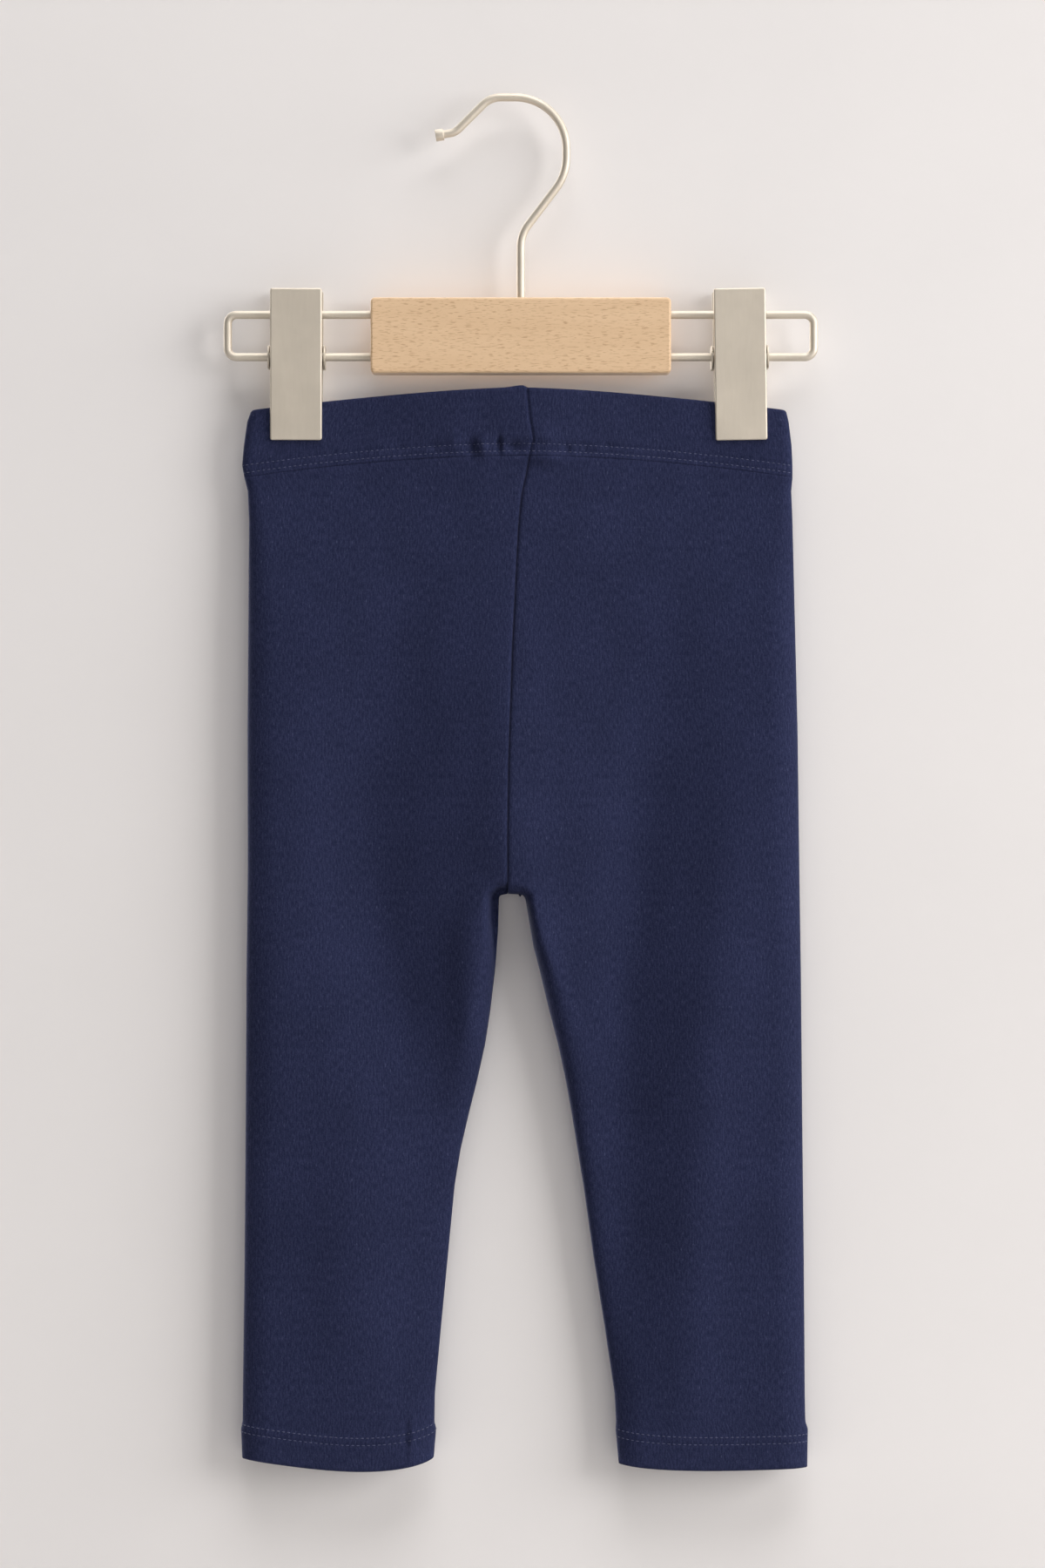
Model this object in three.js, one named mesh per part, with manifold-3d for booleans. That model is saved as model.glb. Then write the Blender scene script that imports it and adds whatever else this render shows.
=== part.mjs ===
// A pair of baby's cotton leggings, clipped by the waistband to a small trouser hanger.
// Millimetres, +Z up, +X to the viewer's right, -Y towards the viewer, who sees the back of the leggings.
// The origin is the top of the hook's inside, where a rail or peg carries the hanger.

import * as THREE from "three";
import { mergeVertices } from "three/addons/utils/BufferGeometryUtils.js";
import Module from "manifold-3d";

const wasm = await Module();
wasm.setup();

// Driving sizes of the leggings. A drop is a distance below the top of the waistband at the centre back.
const WAIST_Z = -112;
const HALF_WAIST = 106;
const CROTCH_DROP = 197.5;
const BODY_TOP_GAP = 0.3;
const SEAM_GAP = 0.3;
const JERSEY_WALL = 1.2;
const HEM_WALL = 2;
const HEM_DEPTH = 15;
const BAND_HEIGHT = 26.5;
const SIDE_DROP = 8.4;
const FRONT_SAG = 2;
const BAND_WALL = 2.4;
const BAND_PROUD = 0.9;
const BAND_CLIPPED_HALF = 2.75;
const EDGE_ROUND = 11;
const BAND_EDGE_ROUND = 4;
const BAND_INNER_EDGE_ROUND = 1.4;
const BAND_TOP_ROUND = 0.5;
const HEM_PROUD = 0.4;
const HEM_STEP = 3;

// Driving sizes of the hanger.
const WIRE_R = 1.6;
const WIRE_FRAME = { halfLength: 114.4, upperZ: -83.3, lowerZ: -99.8, bend: 3.5 };
const BAR = { width: 117, height: 29.4, depth: 13, topZ: -77, corner: 1.7, edge: 1.1 };
const HOOK = { seatDepth: 3, knobAcross: 4.7, knobLength: 3.3 };
const HOOK_ROUTE = [
  { x: -31.7, z: -13.1 },
  { x: -25.6, z: -12.1, bend: 6 },
  { x: -11.9, z: WIRE_R, bend: 10 },
  { x: 17.8, z: WIRE_R, bend: 19.9 },
  { x: 17.8, z: -28.6, bend: 19.9 },
  { x: 0, z: -52, bend: 14 },
  { x: 0, z: BAR.topZ - HOOK.seatDepth },
];
const CLIP = {
  width: 20.2,
  height: 59,
  abovePivot: 26.3,
  plate: 1,
  corner: 0.9,
  edge: 0.2,
  ear: 0.8,
  earR: 4.6,
  tiltDeg: 5,
  springWire: 1.5,
};
const CLIP_PLACES = [
  { side: "left", x: -87.5, turnDeg: 0.2 },
  { side: "right", x: 85.5, turnDeg: -1 },
];
const RUNNING_GAP = 0.3;
const EAR_HOLE_GAP = 0.45;

const COLOURS = { jersey: 0x252c4e, beech: 0xd9b48c, nickel: 0xb5ab9a, spring: 0x8f8b84 };

// The side folds of the garment, seen from the back.
const SIDE_FOLDS = [
  { drop: 8, left: -105.0, right: 103.4 },
  { drop: 13, left: -106.8, right: 104.6 },
  { drop: 22, left: -108.1, right: 105.7 },
  { drop: 30, left: -108.8, right: 106.1 },
  { drop: 35, left: -107.9, right: 106.1 },
  { drop: 40, left: -106.6, right: 105.6 },
  { drop: 52, left: -106.1, right: 106.1 },
  { drop: 93, left: -106.4, right: 107.1 },
  { drop: 134, left: -106.7, right: 108.1 },
  { drop: 188, left: -106.6, right: 108.8 },
  { drop: 229, left: -107.1, right: 109.4 },
  { drop: 284, left: -107.4, right: 109.9 },
  { drop: 338, left: -107.8, right: 110.5 },
  { drop: 392, left: -108.5, right: 110.9 },
  { drop: 405, left: -109.1, right: 112.1 },
  { drop: 425, left: -108.5, right: 111.8 },
];

// The centre seam, which leans a little as the garment hangs.
const CENTRE_SEAM = [
  { drop: 26, x: 3.4 },
  { drop: 32, x: 2.5 },
  { drop: 42, x: 0.3 },
  { drop: 54, x: -0.9 },
  { drop: 100, x: -3.2 },
  { drop: 144, x: -4.7 },
  { drop: 170, x: -5.1 },
  { drop: 200, x: -5.1 },
];

// The inner edge of each leg from the crotch to the hem.
const INSEAMS = {
  left: [
    { drop: 197.5, x: -5.25 },
    { drop: 199.4, x: -8.0 },
    { drop: 212, x: -8.8 },
    { drop: 226, x: -9.9 },
    { drop: 243, x: -11.9 },
    { drop: 256, x: -13.9 },
    { drop: 270, x: -17.0 },
    { drop: 284, x: -20.5 },
    { drop: 297, x: -23.5 },
    { drop: 311, x: -25.8 },
    { drop: 338, x: -28.4 },
    { drop: 365, x: -31.0 },
    { drop: 392, x: -33.5 },
    { drop: 405, x: -33.0 },
    { drop: 416.5, x: -33.9 },
  ],
  right: [
    { drop: 197.5, x: -4.95 },
    { drop: 198.2, x: 1.0 },
    { drop: 205, x: 2.6 },
    { drop: 217, x: 4.8 },
    { drop: 228, x: 7.6 },
    { drop: 243, x: 11.2 },
    { drop: 256, x: 14.6 },
    { drop: 270, x: 17.6 },
    { drop: 284, x: 20.1 },
    { drop: 297, x: 22.2 },
    { drop: 311, x: 24.5 },
    { drop: 338, x: 28.3 },
    { drop: 365, x: 32.6 },
    { drop: 392, x: 36.6 },
    { drop: 405, x: 37.0 },
    { drop: 419, x: 38.2 },
  ],
};

// Half the depth of the hanging tube, from the middle of the garment to its outer face.
const HALF_DEPTHS = [
  { drop: 60, depth: 6.6 },
  { drop: 95, depth: 7.6 },
  { drop: 140, depth: 8.3 },
  { drop: 230, depth: 8.4 },
  { drop: 320, depth: 8.0 },
  { drop: 392, depth: 7.5 },
  { drop: 425, depth: 7.2 },
];

// The drops between which the cloth opens out from the pinched waistband to its free depth.
const OPENS_FROM = 27;
const OPENS_BY = 92;

// Hem ends: the drop at the outer fold and how far the middle of the hem hangs lower. The sag fades in down
// the leg between two shares of the inseam's length.
const SAG_FROM = 0.72;
const SAG_BY = 0.93;
const HEMS = {
  left: { outerDrop: 417, sag: 5.2 },
  right: { outerDrop: 420.5, sag: 1.8 },
};

// Soft troughs, and ridges where the depth is negative. Each runs from one point by a second to a third, and
// is deepest at its peak, a share of the way along.
const FOLDS = {
  back: [
    { name: "left seat hollow", x: [-43, -55, -20], drop: [58, 172, 276], width: 15, depth: 5.2, peak: 0.64 },
    { name: "seat swell", x: [-3, -4, 0], drop: [66, 150, 222], width: 25, depth: -3.6, peak: 0.6 },
    { name: "left thigh crest", x: [-8, -15, -22], drop: [186, 224, 268], width: 8, depth: -2.2, peak: 0.5 },
    { name: "right leg trough", x: [74, 52, 49], drop: [130, 225, 412], width: 11, depth: 2.4, peak: 0.5 },
    { name: "right thigh crest", x: [84, 73, 70], drop: [140, 250, 408], width: 9, depth: -0.7, peak: 0.5 },
    { name: "right inseam crest", x: [12, 24, 38], drop: [214, 300, 404], width: 9, depth: -1.2, peak: 0.5 },
    { name: "left shin crest", x: [-72, -66, -63], drop: [284, 345, 412], width: 12, depth: -1.8, peak: 0.5 },
    { name: "left side dip", x: [-94, -92, -90], drop: [200, 300, 404], width: 8, depth: 0.9, peak: 0.5 },
  ],
  front: [
    { name: "left lap trough", x: [-62, -44, -22], drop: [60, 150, 262], width: 12, depth: 3, peak: 0.6 },
    { name: "right lap trough", x: [68, 44, 24], drop: [74, 170, 270], width: 11, depth: 2.6, peak: 0.6 },
    { name: "belly swell", x: [0, -2, -4], drop: [66, 112, 176], width: 26, depth: -2.2, peak: 0.5 },
    { name: "left shin trough", x: [-76, -70, -72], drop: [236, 330, 410], width: 9, depth: 2, peak: 0.5 },
    { name: "right shin trough", x: [84, 76, 78], drop: [216, 310, 408], width: 9, depth: 2.1, peak: 0.5 },
  ],
};

// Rows of each leg panel: distances above the crotch, then distances along the inseam below it.
const ROWS_ABOVE = [165, 146, 127, 109, 92, 76, 61, 47, 34, 23, 14, 8, 3.6, 1.2, 0];
const ROWS_BELOW = [1.8, 5, 10, 18, 29, 42, 57, 73, 90, 108, 126, 144, 162, 180, 194];
const PANEL_STEPS = 13;
const BAND_STEPS = 24;
const BAND_ROWS = [0, 0.18, 0.5, 0.85, 1];

const lerp = THREE.MathUtils.lerp;
const smoothstep = THREE.MathUtils.smoothstep;

// Reads one column of a table at a drop, with straight runs between its rows.
function readTable(table, column, drop) {
  const next = table.findIndex((row) => row.drop >= drop);
  if (next === 0) return table[0][column];
  if (next < 0) return table[table.length - 1][column];
  const above = table[next - 1];
  const below = table[next];
  return lerp(above[column], below[column], (drop - above.drop) / (below.drop - above.drop));
}

// A quarter-ellipse profile: 0 at an edge, 1 from the given reach inwards.
function edgeRound(distance, reach) {
  const left = 1 - THREE.MathUtils.clamp(distance / reach, 0, 1);
  return Math.sqrt(Math.max(0, 1 - left * left));
}

function distanceToSegment(x, y, a, b) {
  const dx = b.x - a.x;
  const dy = b.y - a.y;
  const share = THREE.MathUtils.clamp(((x - a.x) * dx + (y - a.y) * dy) / (dx * dx + dy * dy), 0, 1);
  return { gap: Math.hypot(x - a.x - share * dx, y - a.y - share * dy), share };
}

// The nearest place on a chain of points: how far away it is, and its share of the chain's count of steps.
function nearestOnChain(x, drop, chain) {
  let best = { gap: Infinity, along: 0 };
  for (let i = 0; i + 1 < chain.length; i++) {
    const found = distanceToSegment(x, drop, chain[i], chain[i + 1]);
    if (found.gap < best.gap) best = { gap: found.gap, along: (i + found.share) / (chain.length - 1) };
  }
  return best;
}

const FOLD_STEPS = 10;
for (const fold of [...FOLDS.back, ...FOLDS.front]) {
  const [a, b, c] = fold.x.map((x, i) => new THREE.Vector2(x, fold.drop[i]));
  const pull = b.clone().multiplyScalar(2).sub(a.clone().add(c).multiplyScalar(0.5));
  fold.chain = new THREE.QuadraticBezierCurve(a, pull, c).getPoints(FOLD_STEPS);
}

// How far the folds of one layer push its face in at a place.
function foldDepth(layer, x, drop) {
  let pushed = 0;
  for (const fold of FOLDS[layer]) {
    const near = nearestOnChain(x, drop, fold.chain);
    const along = near.along ** (Math.log(0.5) / Math.log(fold.peak));
    const fade = Math.sin(Math.PI * along);
    pushed += fold.depth * fade * Math.exp(-((near.gap / fold.width) ** 2));
  }
  return pushed;
}

// The waistband's upper and lower edges. The back rises higher at the centre than the front.
function bandTopDrop(layer, x) {
  const share = Math.min(1, Math.abs(x) / HALF_WAIST);
  return layer === "back" ? SIDE_DROP * share ** 1.5 : SIDE_DROP + FRONT_SAG * (1 - share ** 2);
}

function bandBottomDrop(layer, x) {
  const share = Math.min(1, Math.abs(x) / HALF_WAIST);
  const atSide = SIDE_DROP + BAND_HEIGHT;
  return layer === "back" ? lerp(BAND_HEIGHT, atSide, share ** 1.9) : atSide + FRONT_SAG * (1 - share ** 2);
}

// Half the depth of the waistband: pinched flat by the clips and slack between them, most at its top edge.
const SLACK_HALF_SPAN = 76;
const SLACK_AT_BOTTOM = 3.4;
const SLACK_AT_TOP = 4.4;
function bandHalfDepth(x, rise) {
  const share = Math.min(1, Math.abs(x) / SLACK_HALF_SPAN);
  const slack = Math.cos((Math.PI / 2) * share) ** 2;
  return BAND_CLIPPED_HALF + slack * lerp(SLACK_AT_BOTTOM, SLACK_AT_TOP, rise);
}

function bodyHalfDepth(layer, x, drop) {
  const underBand = bandHalfDepth(x, 0) - BAND_PROUD;
  const free = readTable(HALF_DEPTHS, "depth", drop);
  const share = smoothstep(drop, OPENS_FROM, OPENS_BY);
  return lerp(underBand, free, share) - share * foldDepth(layer, x, drop);
}

// A closed solid from an outer and an inner grid of points with the same rows, joined round all four edges,
// or round the top and the bottom alone where the rows are rings.
function shellGeometry(outer, inner, ringed) {
  const rows = outer.length;
  const columns = outer[0].length;
  const points = [...outer.flat(), ...inner.flat()];
  const index = [];
  const at = (face, row, column) => (face * rows + row) * columns + (column % columns);
  const quad = (a, b, c, d) => index.push(a, b, c, a, c, d);
  const lastColumn = ringed ? columns : columns - 1;
  for (let r = 0; r + 1 < rows; r++) {
    for (let c = 0; c < lastColumn; c++) {
      quad(at(0, r, c), at(0, r + 1, c), at(0, r + 1, c + 1), at(0, r, c + 1));
      quad(at(1, r, c), at(1, r, c + 1), at(1, r + 1, c + 1), at(1, r + 1, c));
    }
    if (!ringed) {
      quad(at(0, r, 0), at(1, r, 0), at(1, r + 1, 0), at(0, r + 1, 0));
      quad(at(0, r, lastColumn), at(0, r + 1, lastColumn), at(1, r + 1, lastColumn), at(1, r, lastColumn));
    }
  }
  for (let c = 0; c < lastColumn; c++) {
    quad(at(0, 0, c), at(0, 0, c + 1), at(1, 0, c + 1), at(1, 0, c));
    quad(at(0, rows - 1, c), at(1, rows - 1, c), at(1, rows - 1, c + 1), at(0, rows - 1, c + 1));
  }
  const geometry = new THREE.BufferGeometry().setFromPoints(points).setIndex(index);
  return signedVolume(geometry) < 0 ? turnedRound(geometry) : geometry;
}

function signedVolume(geometry) {
  const place = geometry.getAttribute("position");
  const corner = [0, 1, 2].map(() => new THREE.Vector3());
  let six = 0;
  for (let i = 0; i < geometry.index.count; i += 3) {
    corner.forEach((v, k) => v.fromBufferAttribute(place, geometry.index.getX(i + k)));
    six += corner[0].dot(corner[1].clone().cross(corner[2]));
  }
  return six / 6;
}

function turnedRound(geometry) {
  const index = [...geometry.index.array];
  for (let i = 0; i < index.length; i += 3) {
    const second = index[i + 1];
    index[i + 1] = index[i + 2];
    index[i + 2] = second;
  }
  return geometry.setIndex(index);
}

// Shares from 0 to 1, closer together towards both ends, where the cloth rolls over.
function rolledShares(steps) {
  return Array.from({ length: steps + 1 }, (_, i) => (1 - Math.cos((Math.PI * i) / steps)) / 2);
}

// One leg panel: cut in one piece, it wraps from the centre back seam round the side fold to the centre front
// seam. Below the crotch its two edges meet in the inseam. The end is turned up as a hem.
function legPanel(side) {
  const sign = side === "left" ? -1 : 1;
  const inseam = new THREE.CatmullRomCurve3(
    INSEAMS[side].map((row) => new THREE.Vector3(row.x, row.drop, 0)),
    false,
    "centripetal",
  );
  inseam.arcLengthDivisions = 600;
  const inseamLength = inseam.getLength();
  const edge = inseam.getSpacedPoints(120);
  const hem = HEMS[side];
  const hemTop = inseamLength - HEM_DEPTH;
  const hemRows = [hemTop - HEM_STEP, hemTop, inseamLength - HEM_DEPTH / 2, inseamLength];
  const shares = rolledShares(PANEL_STEPS);

  // A point of the face that lies the given inset inside the cloth's outer face.
  function facePoint(layer, share, row, inset) {
    let x;
    let drop;
    const sideFold = (atDrop) => readTable(SIDE_FOLDS, side, atDrop) - sign * inset;
    if (row.above !== undefined) {
      const crotch = CROTCH_DROP - inset;
      const down = 1 - row.above / ROWS_ABOVE[0];
      const seamTop = bandBottomDrop(layer, 0) + BODY_TOP_GAP;
      const seamX = readTable(CENTRE_SEAM, "x", lerp(seamTop, crotch, down)) + (sign * SEAM_GAP) / 2;
      const topDrop = bandBottomDrop(layer, lerp(0, sign * HALF_WAIST, share)) + BODY_TOP_GAP;
      drop = lerp(topDrop, crotch, down);
      x = lerp(seamX, sideFold(drop), share);
    } else {
      const way = row.below / inseamLength;
      const on = inseam.getPointAt(way);
      const along = inseam.getTangentAt(way);
      const inwards = new THREE.Vector2(along.y, -along.x).multiplyScalar(sign * inset);
      const outerDrop = lerp(CROTCH_DROP - inset, hem.outerDrop, way);
      const hangs = smoothstep(way, SAG_FROM, SAG_BY) * hem.sag * Math.sin(Math.PI * share);
      const keepsLevel = way < 1 ? 1 : 0;
      x = lerp(on.x + inwards.x, sideFold(outerDrop), share);
      drop = lerp(on.y + inwards.y * keepsLevel, outerDrop, share) + hangs;
    }
    const flat = new THREE.Vector2(x, drop);
    const toInseam = nearestOnChain(flat.x, flat.y, edge).gap - inset;
    const toSide = Math.abs(readTable(SIDE_FOLDS, side, drop) - x) - inset;
    const reach = lerp(BAND_EDGE_ROUND, EDGE_ROUND, smoothstep(drop, OPENS_FROM, OPENS_BY)) - inset;
    const rolled = edgeRound(toInseam, EDGE_ROUND - inset) * edgeRound(toSide, reach);
    const hemProud = row.below > hemTop - HEM_STEP ? HEM_PROUD : 0;
    const half = bodyHalfDepth(layer, x, drop) + hemProud - inset;
    const y = SEAM_GAP / 2 + Math.max(0, half - SEAM_GAP / 2) * rolled;
    return new THREE.Vector3(x, layer === "back" ? -y : y, WAIST_Z - drop);
  }

  const rows = [
    ...ROWS_ABOVE.map((above) => ({ above })),
    ...[...ROWS_BELOW, ...hemRows].map((below) => ({ below })),
  ];
  const grid = (wallOf) =>
    rows.map((row) => {
      const inset = wallOf(row);
      const back = shares.map((share) => facePoint("back", share, row, inset));
      const front = shares.map((share) => facePoint("front", share, row, inset));
      const fold = back.pop();
      fold.y = 0;
      front.pop();
      return [...back, fold, ...front.reverse()];
    });
  const wall = (row) => (row.below > hemTop - HEM_STEP ? HEM_WALL : JERSEY_WALL);
  return shellGeometry(grid(() => 0), grid(wall), false);
}

// The waistband: a casing folded over flat elastic, so a thicker ring, pinched shut where the clips hold it.
function waistband() {
  const shares = rolledShares(BAND_STEPS);
  function facePoint(layer, share, rise, inset) {
    const guess = lerp(-HALF_WAIST, HALF_WAIST, share);
    const drop = lerp(bandBottomDrop(layer, guess), bandTopDrop(layer, guess), rise);
    const left = readTable(SIDE_FOLDS, "left", drop) + inset;
    const right = readTable(SIDE_FOLDS, "right", drop) - inset;
    const x = lerp(left, right, share);
    const toSide = Math.min(x - left, right - x);
    const rolled = edgeRound(toSide, inset > 0 ? BAND_INNER_EDGE_ROUND : BAND_EDGE_ROUND);
    const topRound = inset > 0 || rise < 1 ? 0 : BAND_TOP_ROUND;
    const half = bandHalfDepth(x, rise) - inset - topRound;
    return new THREE.Vector3(x, (layer === "back" ? -1 : 1) * half * rolled, WAIST_Z - drop);
  }
  const grid = (inset) =>
    BAND_ROWS.map((rise) => {
      const back = shares.map((share) => facePoint("back", share, rise, inset));
      const front = shares.map((share) => facePoint("front", share, rise, inset));
      return [...back, ...front.slice(1, -1).reverse()];
    });
  return shellGeometry(grid(0), grid(BAND_WALL), true);
}

// A round wire bent in the plane of the hanger, closed at both ends.
function bentWire(route, radius, sides) {
  const points = [];
  route.forEach((here, i) => {
    const before = route[Math.max(0, i - 1)];
    const after = route[Math.min(route.length - 1, i + 1)];
    const along = after.clone().sub(before).normalize();
    for (let k = 0; k < sides; k++) {
      const turn = (2 * Math.PI * k) / sides;
      const out = radius * Math.cos(turn);
      points.push(
        new THREE.Vector3(here.x - along.y * out, radius * Math.sin(turn), here.y + along.x * out),
      );
    }
  });
  const index = [];
  const last = route.length - 1;
  for (let r = 0; r < last; r++) {
    for (let k = 0; k < sides; k++) {
      const a = r * sides + k;
      const b = r * sides + ((k + 1) % sides);
      index.push(a, b, b + sides, a, b + sides, a + sides);
    }
  }
  for (let k = 1; k + 1 < sides; k++) {
    index.push(0, k + 1, k);
    index.push(last * sides, last * sides + k, last * sides + k + 1);
  }
  const geometry = new THREE.BufferGeometry().setFromPoints(points).setIndex(index);
  return signedVolume(geometry) < 0 ? turnedRound(geometry) : geometry;
}

// A route through corners, each rounded to its bend radius. x runs right and y up.
const BEND_STEP = 0.14;
function roundedRoute(corners) {
  const route = [];
  corners.forEach(({ x, y, bend }, i) => {
    const here = new THREE.Vector2(x, y);
    if (!bend) {
      route.push(here);
      return;
    }
    const back = new THREE.Vector2(corners[i - 1].x, corners[i - 1].y).sub(here).normalize();
    const on = new THREE.Vector2(corners[i + 1].x, corners[i + 1].y).sub(here).normalize();
    const half = Math.acos(THREE.MathUtils.clamp(back.dot(on), -1, 1)) / 2;
    const centre = back.clone().add(on).normalize().multiplyScalar(bend / Math.sin(half)).add(here);
    const from = back.clone().multiplyScalar(bend / Math.tan(half)).add(here).sub(centre);
    const to = on.clone().multiplyScalar(bend / Math.tan(half)).add(here).sub(centre);
    const sweep = Math.atan2(from.cross(to), from.dot(to));
    const arcSteps = Math.ceil(Math.abs(sweep) / BEND_STEP) + 1;
    for (let k = 0; k <= arcSteps; k++) {
      route.push(from.clone().rotateAround(new THREE.Vector2(), (sweep * k) / arcSteps).add(centre));
    }
  });
  return route;
}

function toSolid(geometry) {
  const bare = new THREE.BufferGeometry().setAttribute("position", geometry.getAttribute("position").clone());
  if (geometry.index) bare.setIndex(geometry.index.clone());
  const merged = mergeVertices(bare, 1e-4);
  const triVerts = new Uint32Array(merged.index.array);
  return new wasm.Manifold(
    new wasm.Mesh({ numProp: 3, vertProperties: merged.getAttribute("position").array, triVerts }),
  );
}

function toGeometry(solid) {
  const mesh = solid.getMesh();
  return new THREE.BufferGeometry()
    .setAttribute("position", new THREE.BufferAttribute(mesh.vertProperties, 3))
    .setIndex(new THREE.BufferAttribute(mesh.triVerts, 1));
}

function roundedRectangle(width, height, radius) {
  const x = width / 2;
  const y = height / 2;
  const shape = new THREE.Shape();
  shape.absarc(x - radius, y - radius, radius, 0, Math.PI / 2);
  shape.absarc(radius - x, y - radius, radius, Math.PI / 2, Math.PI);
  shape.absarc(radius - x, radius - y, radius, Math.PI, 1.5 * Math.PI);
  shape.absarc(x - radius, radius - y, radius, 1.5 * Math.PI, 2 * Math.PI);
  return shape;
}

// A round rod or hole cutter along X.
function rodAlongX(radius, length, sides) {
  return new THREE.CylinderGeometry(radius, radius, length, sides).rotateZ(Math.PI / 2);
}

// The wooden bar, bored lengthwise for both runs of the wire frame and from above for the hook's stem.
function hangerBar() {
  const { width, height, depth, topZ, corner, edge } = BAR;
  const block = new THREE.ExtrudeGeometry(roundedRectangle(width - 2 * edge, height - 2 * edge, corner), {
    depth: depth - 2 * edge,
    bevelSize: edge,
    bevelThickness: edge,
    bevelSegments: 3,
    curveSegments: 4,
  });
  block.translate(0, 0, edge - depth / 2).rotateX(Math.PI / 2);
  block.translate(0, 0, topZ - height / 2);
  const boreR = WIRE_R + RUNNING_GAP;
  let bar = toSolid(block);
  for (const z of [WIRE_FRAME.upperZ, WIRE_FRAME.lowerZ]) {
    bar = bar.subtract(toSolid(rodAlongX(boreR, width + 2, 14).translate(0, 0, z)));
  }
  const seat = new THREE.CylinderGeometry(boreR, boreR, 2 * (HOOK.seatDepth + RUNNING_GAP), 14);
  bar = bar.subtract(toSolid(seat.rotateX(Math.PI / 2).translate(0, 0, topZ)));
  return toGeometry(bar);
}

// The wire frame: one wire bent to a long loop, whose ends meet inside the bar.
function wireFrame() {
  const { halfLength, upperZ, lowerZ, bend } = WIRE_FRAME;
  const route = roundedRoute(
    [
      { x: RUNNING_GAP, y: lowerZ },
      { x: halfLength, y: lowerZ, bend },
      { x: halfLength, y: upperZ, bend },
      { x: -halfLength, y: upperZ, bend },
      { x: -halfLength, y: lowerZ, bend },
      { x: -RUNNING_GAP, y: lowerZ },
    ],
  );
  return bentWire(route, WIRE_R, 10);
}

// The hook: a lead-in with a knob on its end, a round bend over the rail, a straight run down the far side,
// a lean back under the bend, and a stem that is seated in the bar.
function hook() {
  const route = roundedRoute(HOOK_ROUTE.map(({ x, z, bend }) => ({ x, y: z, bend })));
  const knobProfile = [
    [0, -0.5],
    [0.36, -0.5],
    [0.5, -0.3],
    [0.5, 0.3],
    [0.36, 0.5],
    [0, 0.5],
  ].map(([out, along]) => new THREE.Vector2(out * HOOK.knobAcross, along * HOOK.knobLength));
  const knob = new THREE.LatheGeometry(knobProfile, 16);
  knob.rotateZ(Math.PI / 2).translate(HOOK_ROUTE[0].x, 0, HOOK_ROUTE[0].z);
  return toGeometry(toSolid(bentWire(route, WIRE_R, 10)).add(toSolid(knob)));
}

// One jaw of a clip, about its pivot: a flat pressed plate that leans in to the cloth, with two ears round
// the wire. The back jaw's ears stand outside the front jaw's.
function clipJaw(facing) {
  const lean = Math.tan(THREE.MathUtils.degToRad(CLIP.tiltDeg));
  const tipInside = BAND_CLIPPED_HALF + RUNNING_GAP;
  const belowPivot = CLIP.height - CLIP.abovePivot;
  const plateAtPivot = tipInside + belowPivot * lean;
  const earInner = facing === "front" ? CLIP.width / 2 - CLIP.ear : CLIP.width / 2 + RUNNING_GAP;
  const edge = CLIP.edge;
  const outlineOfPlate = roundedRectangle(CLIP.width - 2 * edge, CLIP.height - 2 * edge, CLIP.corner);
  const plate = new THREE.ExtrudeGeometry(outlineOfPlate, {
    depth: CLIP.plate - 2 * edge,
    bevelSize: edge,
    bevelThickness: edge,
    bevelSegments: 1,
    curveSegments: 3,
  });
  plate.translate(0, CLIP.abovePivot - CLIP.height / 2, edge).rotateX(Math.PI / 2);
  plate.applyMatrix4(new THREE.Matrix4().makeShear(0, 0, 0, 0, 0, -lean)).translate(0, -plateAtPivot, 0);
  let jaw = toSolid(plate);
  if (facing === "back") {
    const tab = new THREE.BoxGeometry(2 * (earInner + CLIP.ear), CLIP.plate, 2 * CLIP.earR);
    tab.applyMatrix4(new THREE.Matrix4().makeShear(0, 0, 0, 0, 0, -lean));
    jaw = jaw.add(toSolid(tab.translate(0, -plateAtPivot - CLIP.plate / 2, 0)));
  }
  const outline = new THREE.Shape();
  outline.moveTo(-plateAtPivot - 0.4 * CLIP.plate, CLIP.earR);
  outline.lineTo(-plateAtPivot - 0.4 * CLIP.plate, -CLIP.earR);
  outline.lineTo(0, -CLIP.earR);
  outline.absarc(0, 0, CLIP.earR, -Math.PI / 2, Math.PI / 2);
  for (const sign of [-1, 1]) {
    const settings = { depth: CLIP.ear, bevelEnabled: false, curveSegments: 8 };
    const ear = new THREE.ExtrudeGeometry(outline, settings);
    ear.applyMatrix4(new THREE.Matrix4().set(0, 0, 1, 0, 1, 0, 0, 0, 0, 1, 0, 0, 0, 0, 0, 1));
    jaw = jaw.add(toSolid(ear.translate(sign > 0 ? earInner : -earInner - CLIP.ear, 0, 0)));
  }
  jaw = jaw.subtract(toSolid(rodAlongX(WIRE_R + EAR_HOLE_GAP, 3 * CLIP.width, 16)));
  const geometry = toGeometry(jaw);
  return facing === "front" ? geometry : geometry.rotateZ(Math.PI);
}

// The spring between the ears, as the plain sleeve that its coils fill.
function clipSpring() {
  const outer = WIRE_R + RUNNING_GAP + CLIP.springWire;
  const sleeve = toSolid(rodAlongX(outer, CLIP.width - 2 * CLIP.ear - 2 * RUNNING_GAP, 16));
  return toGeometry(sleeve.subtract(toSolid(rodAlongX(WIRE_R + RUNNING_GAP, CLIP.width, 16))));
}

const MATERIALS = {
  jersey: new THREE.MeshStandardMaterial({ color: COLOURS.jersey, roughness: 0.95, metalness: 0 }),
  beech: new THREE.MeshStandardMaterial({ color: COLOURS.beech, roughness: 0.55, metalness: 0 }),
  nickel: new THREE.MeshStandardMaterial({ color: COLOURS.nickel, roughness: 0.38, metalness: 1 }),
  spring: new THREE.MeshStandardMaterial({ color: COLOURS.spring, roughness: 0.4, metalness: 1 }),
};

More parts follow.
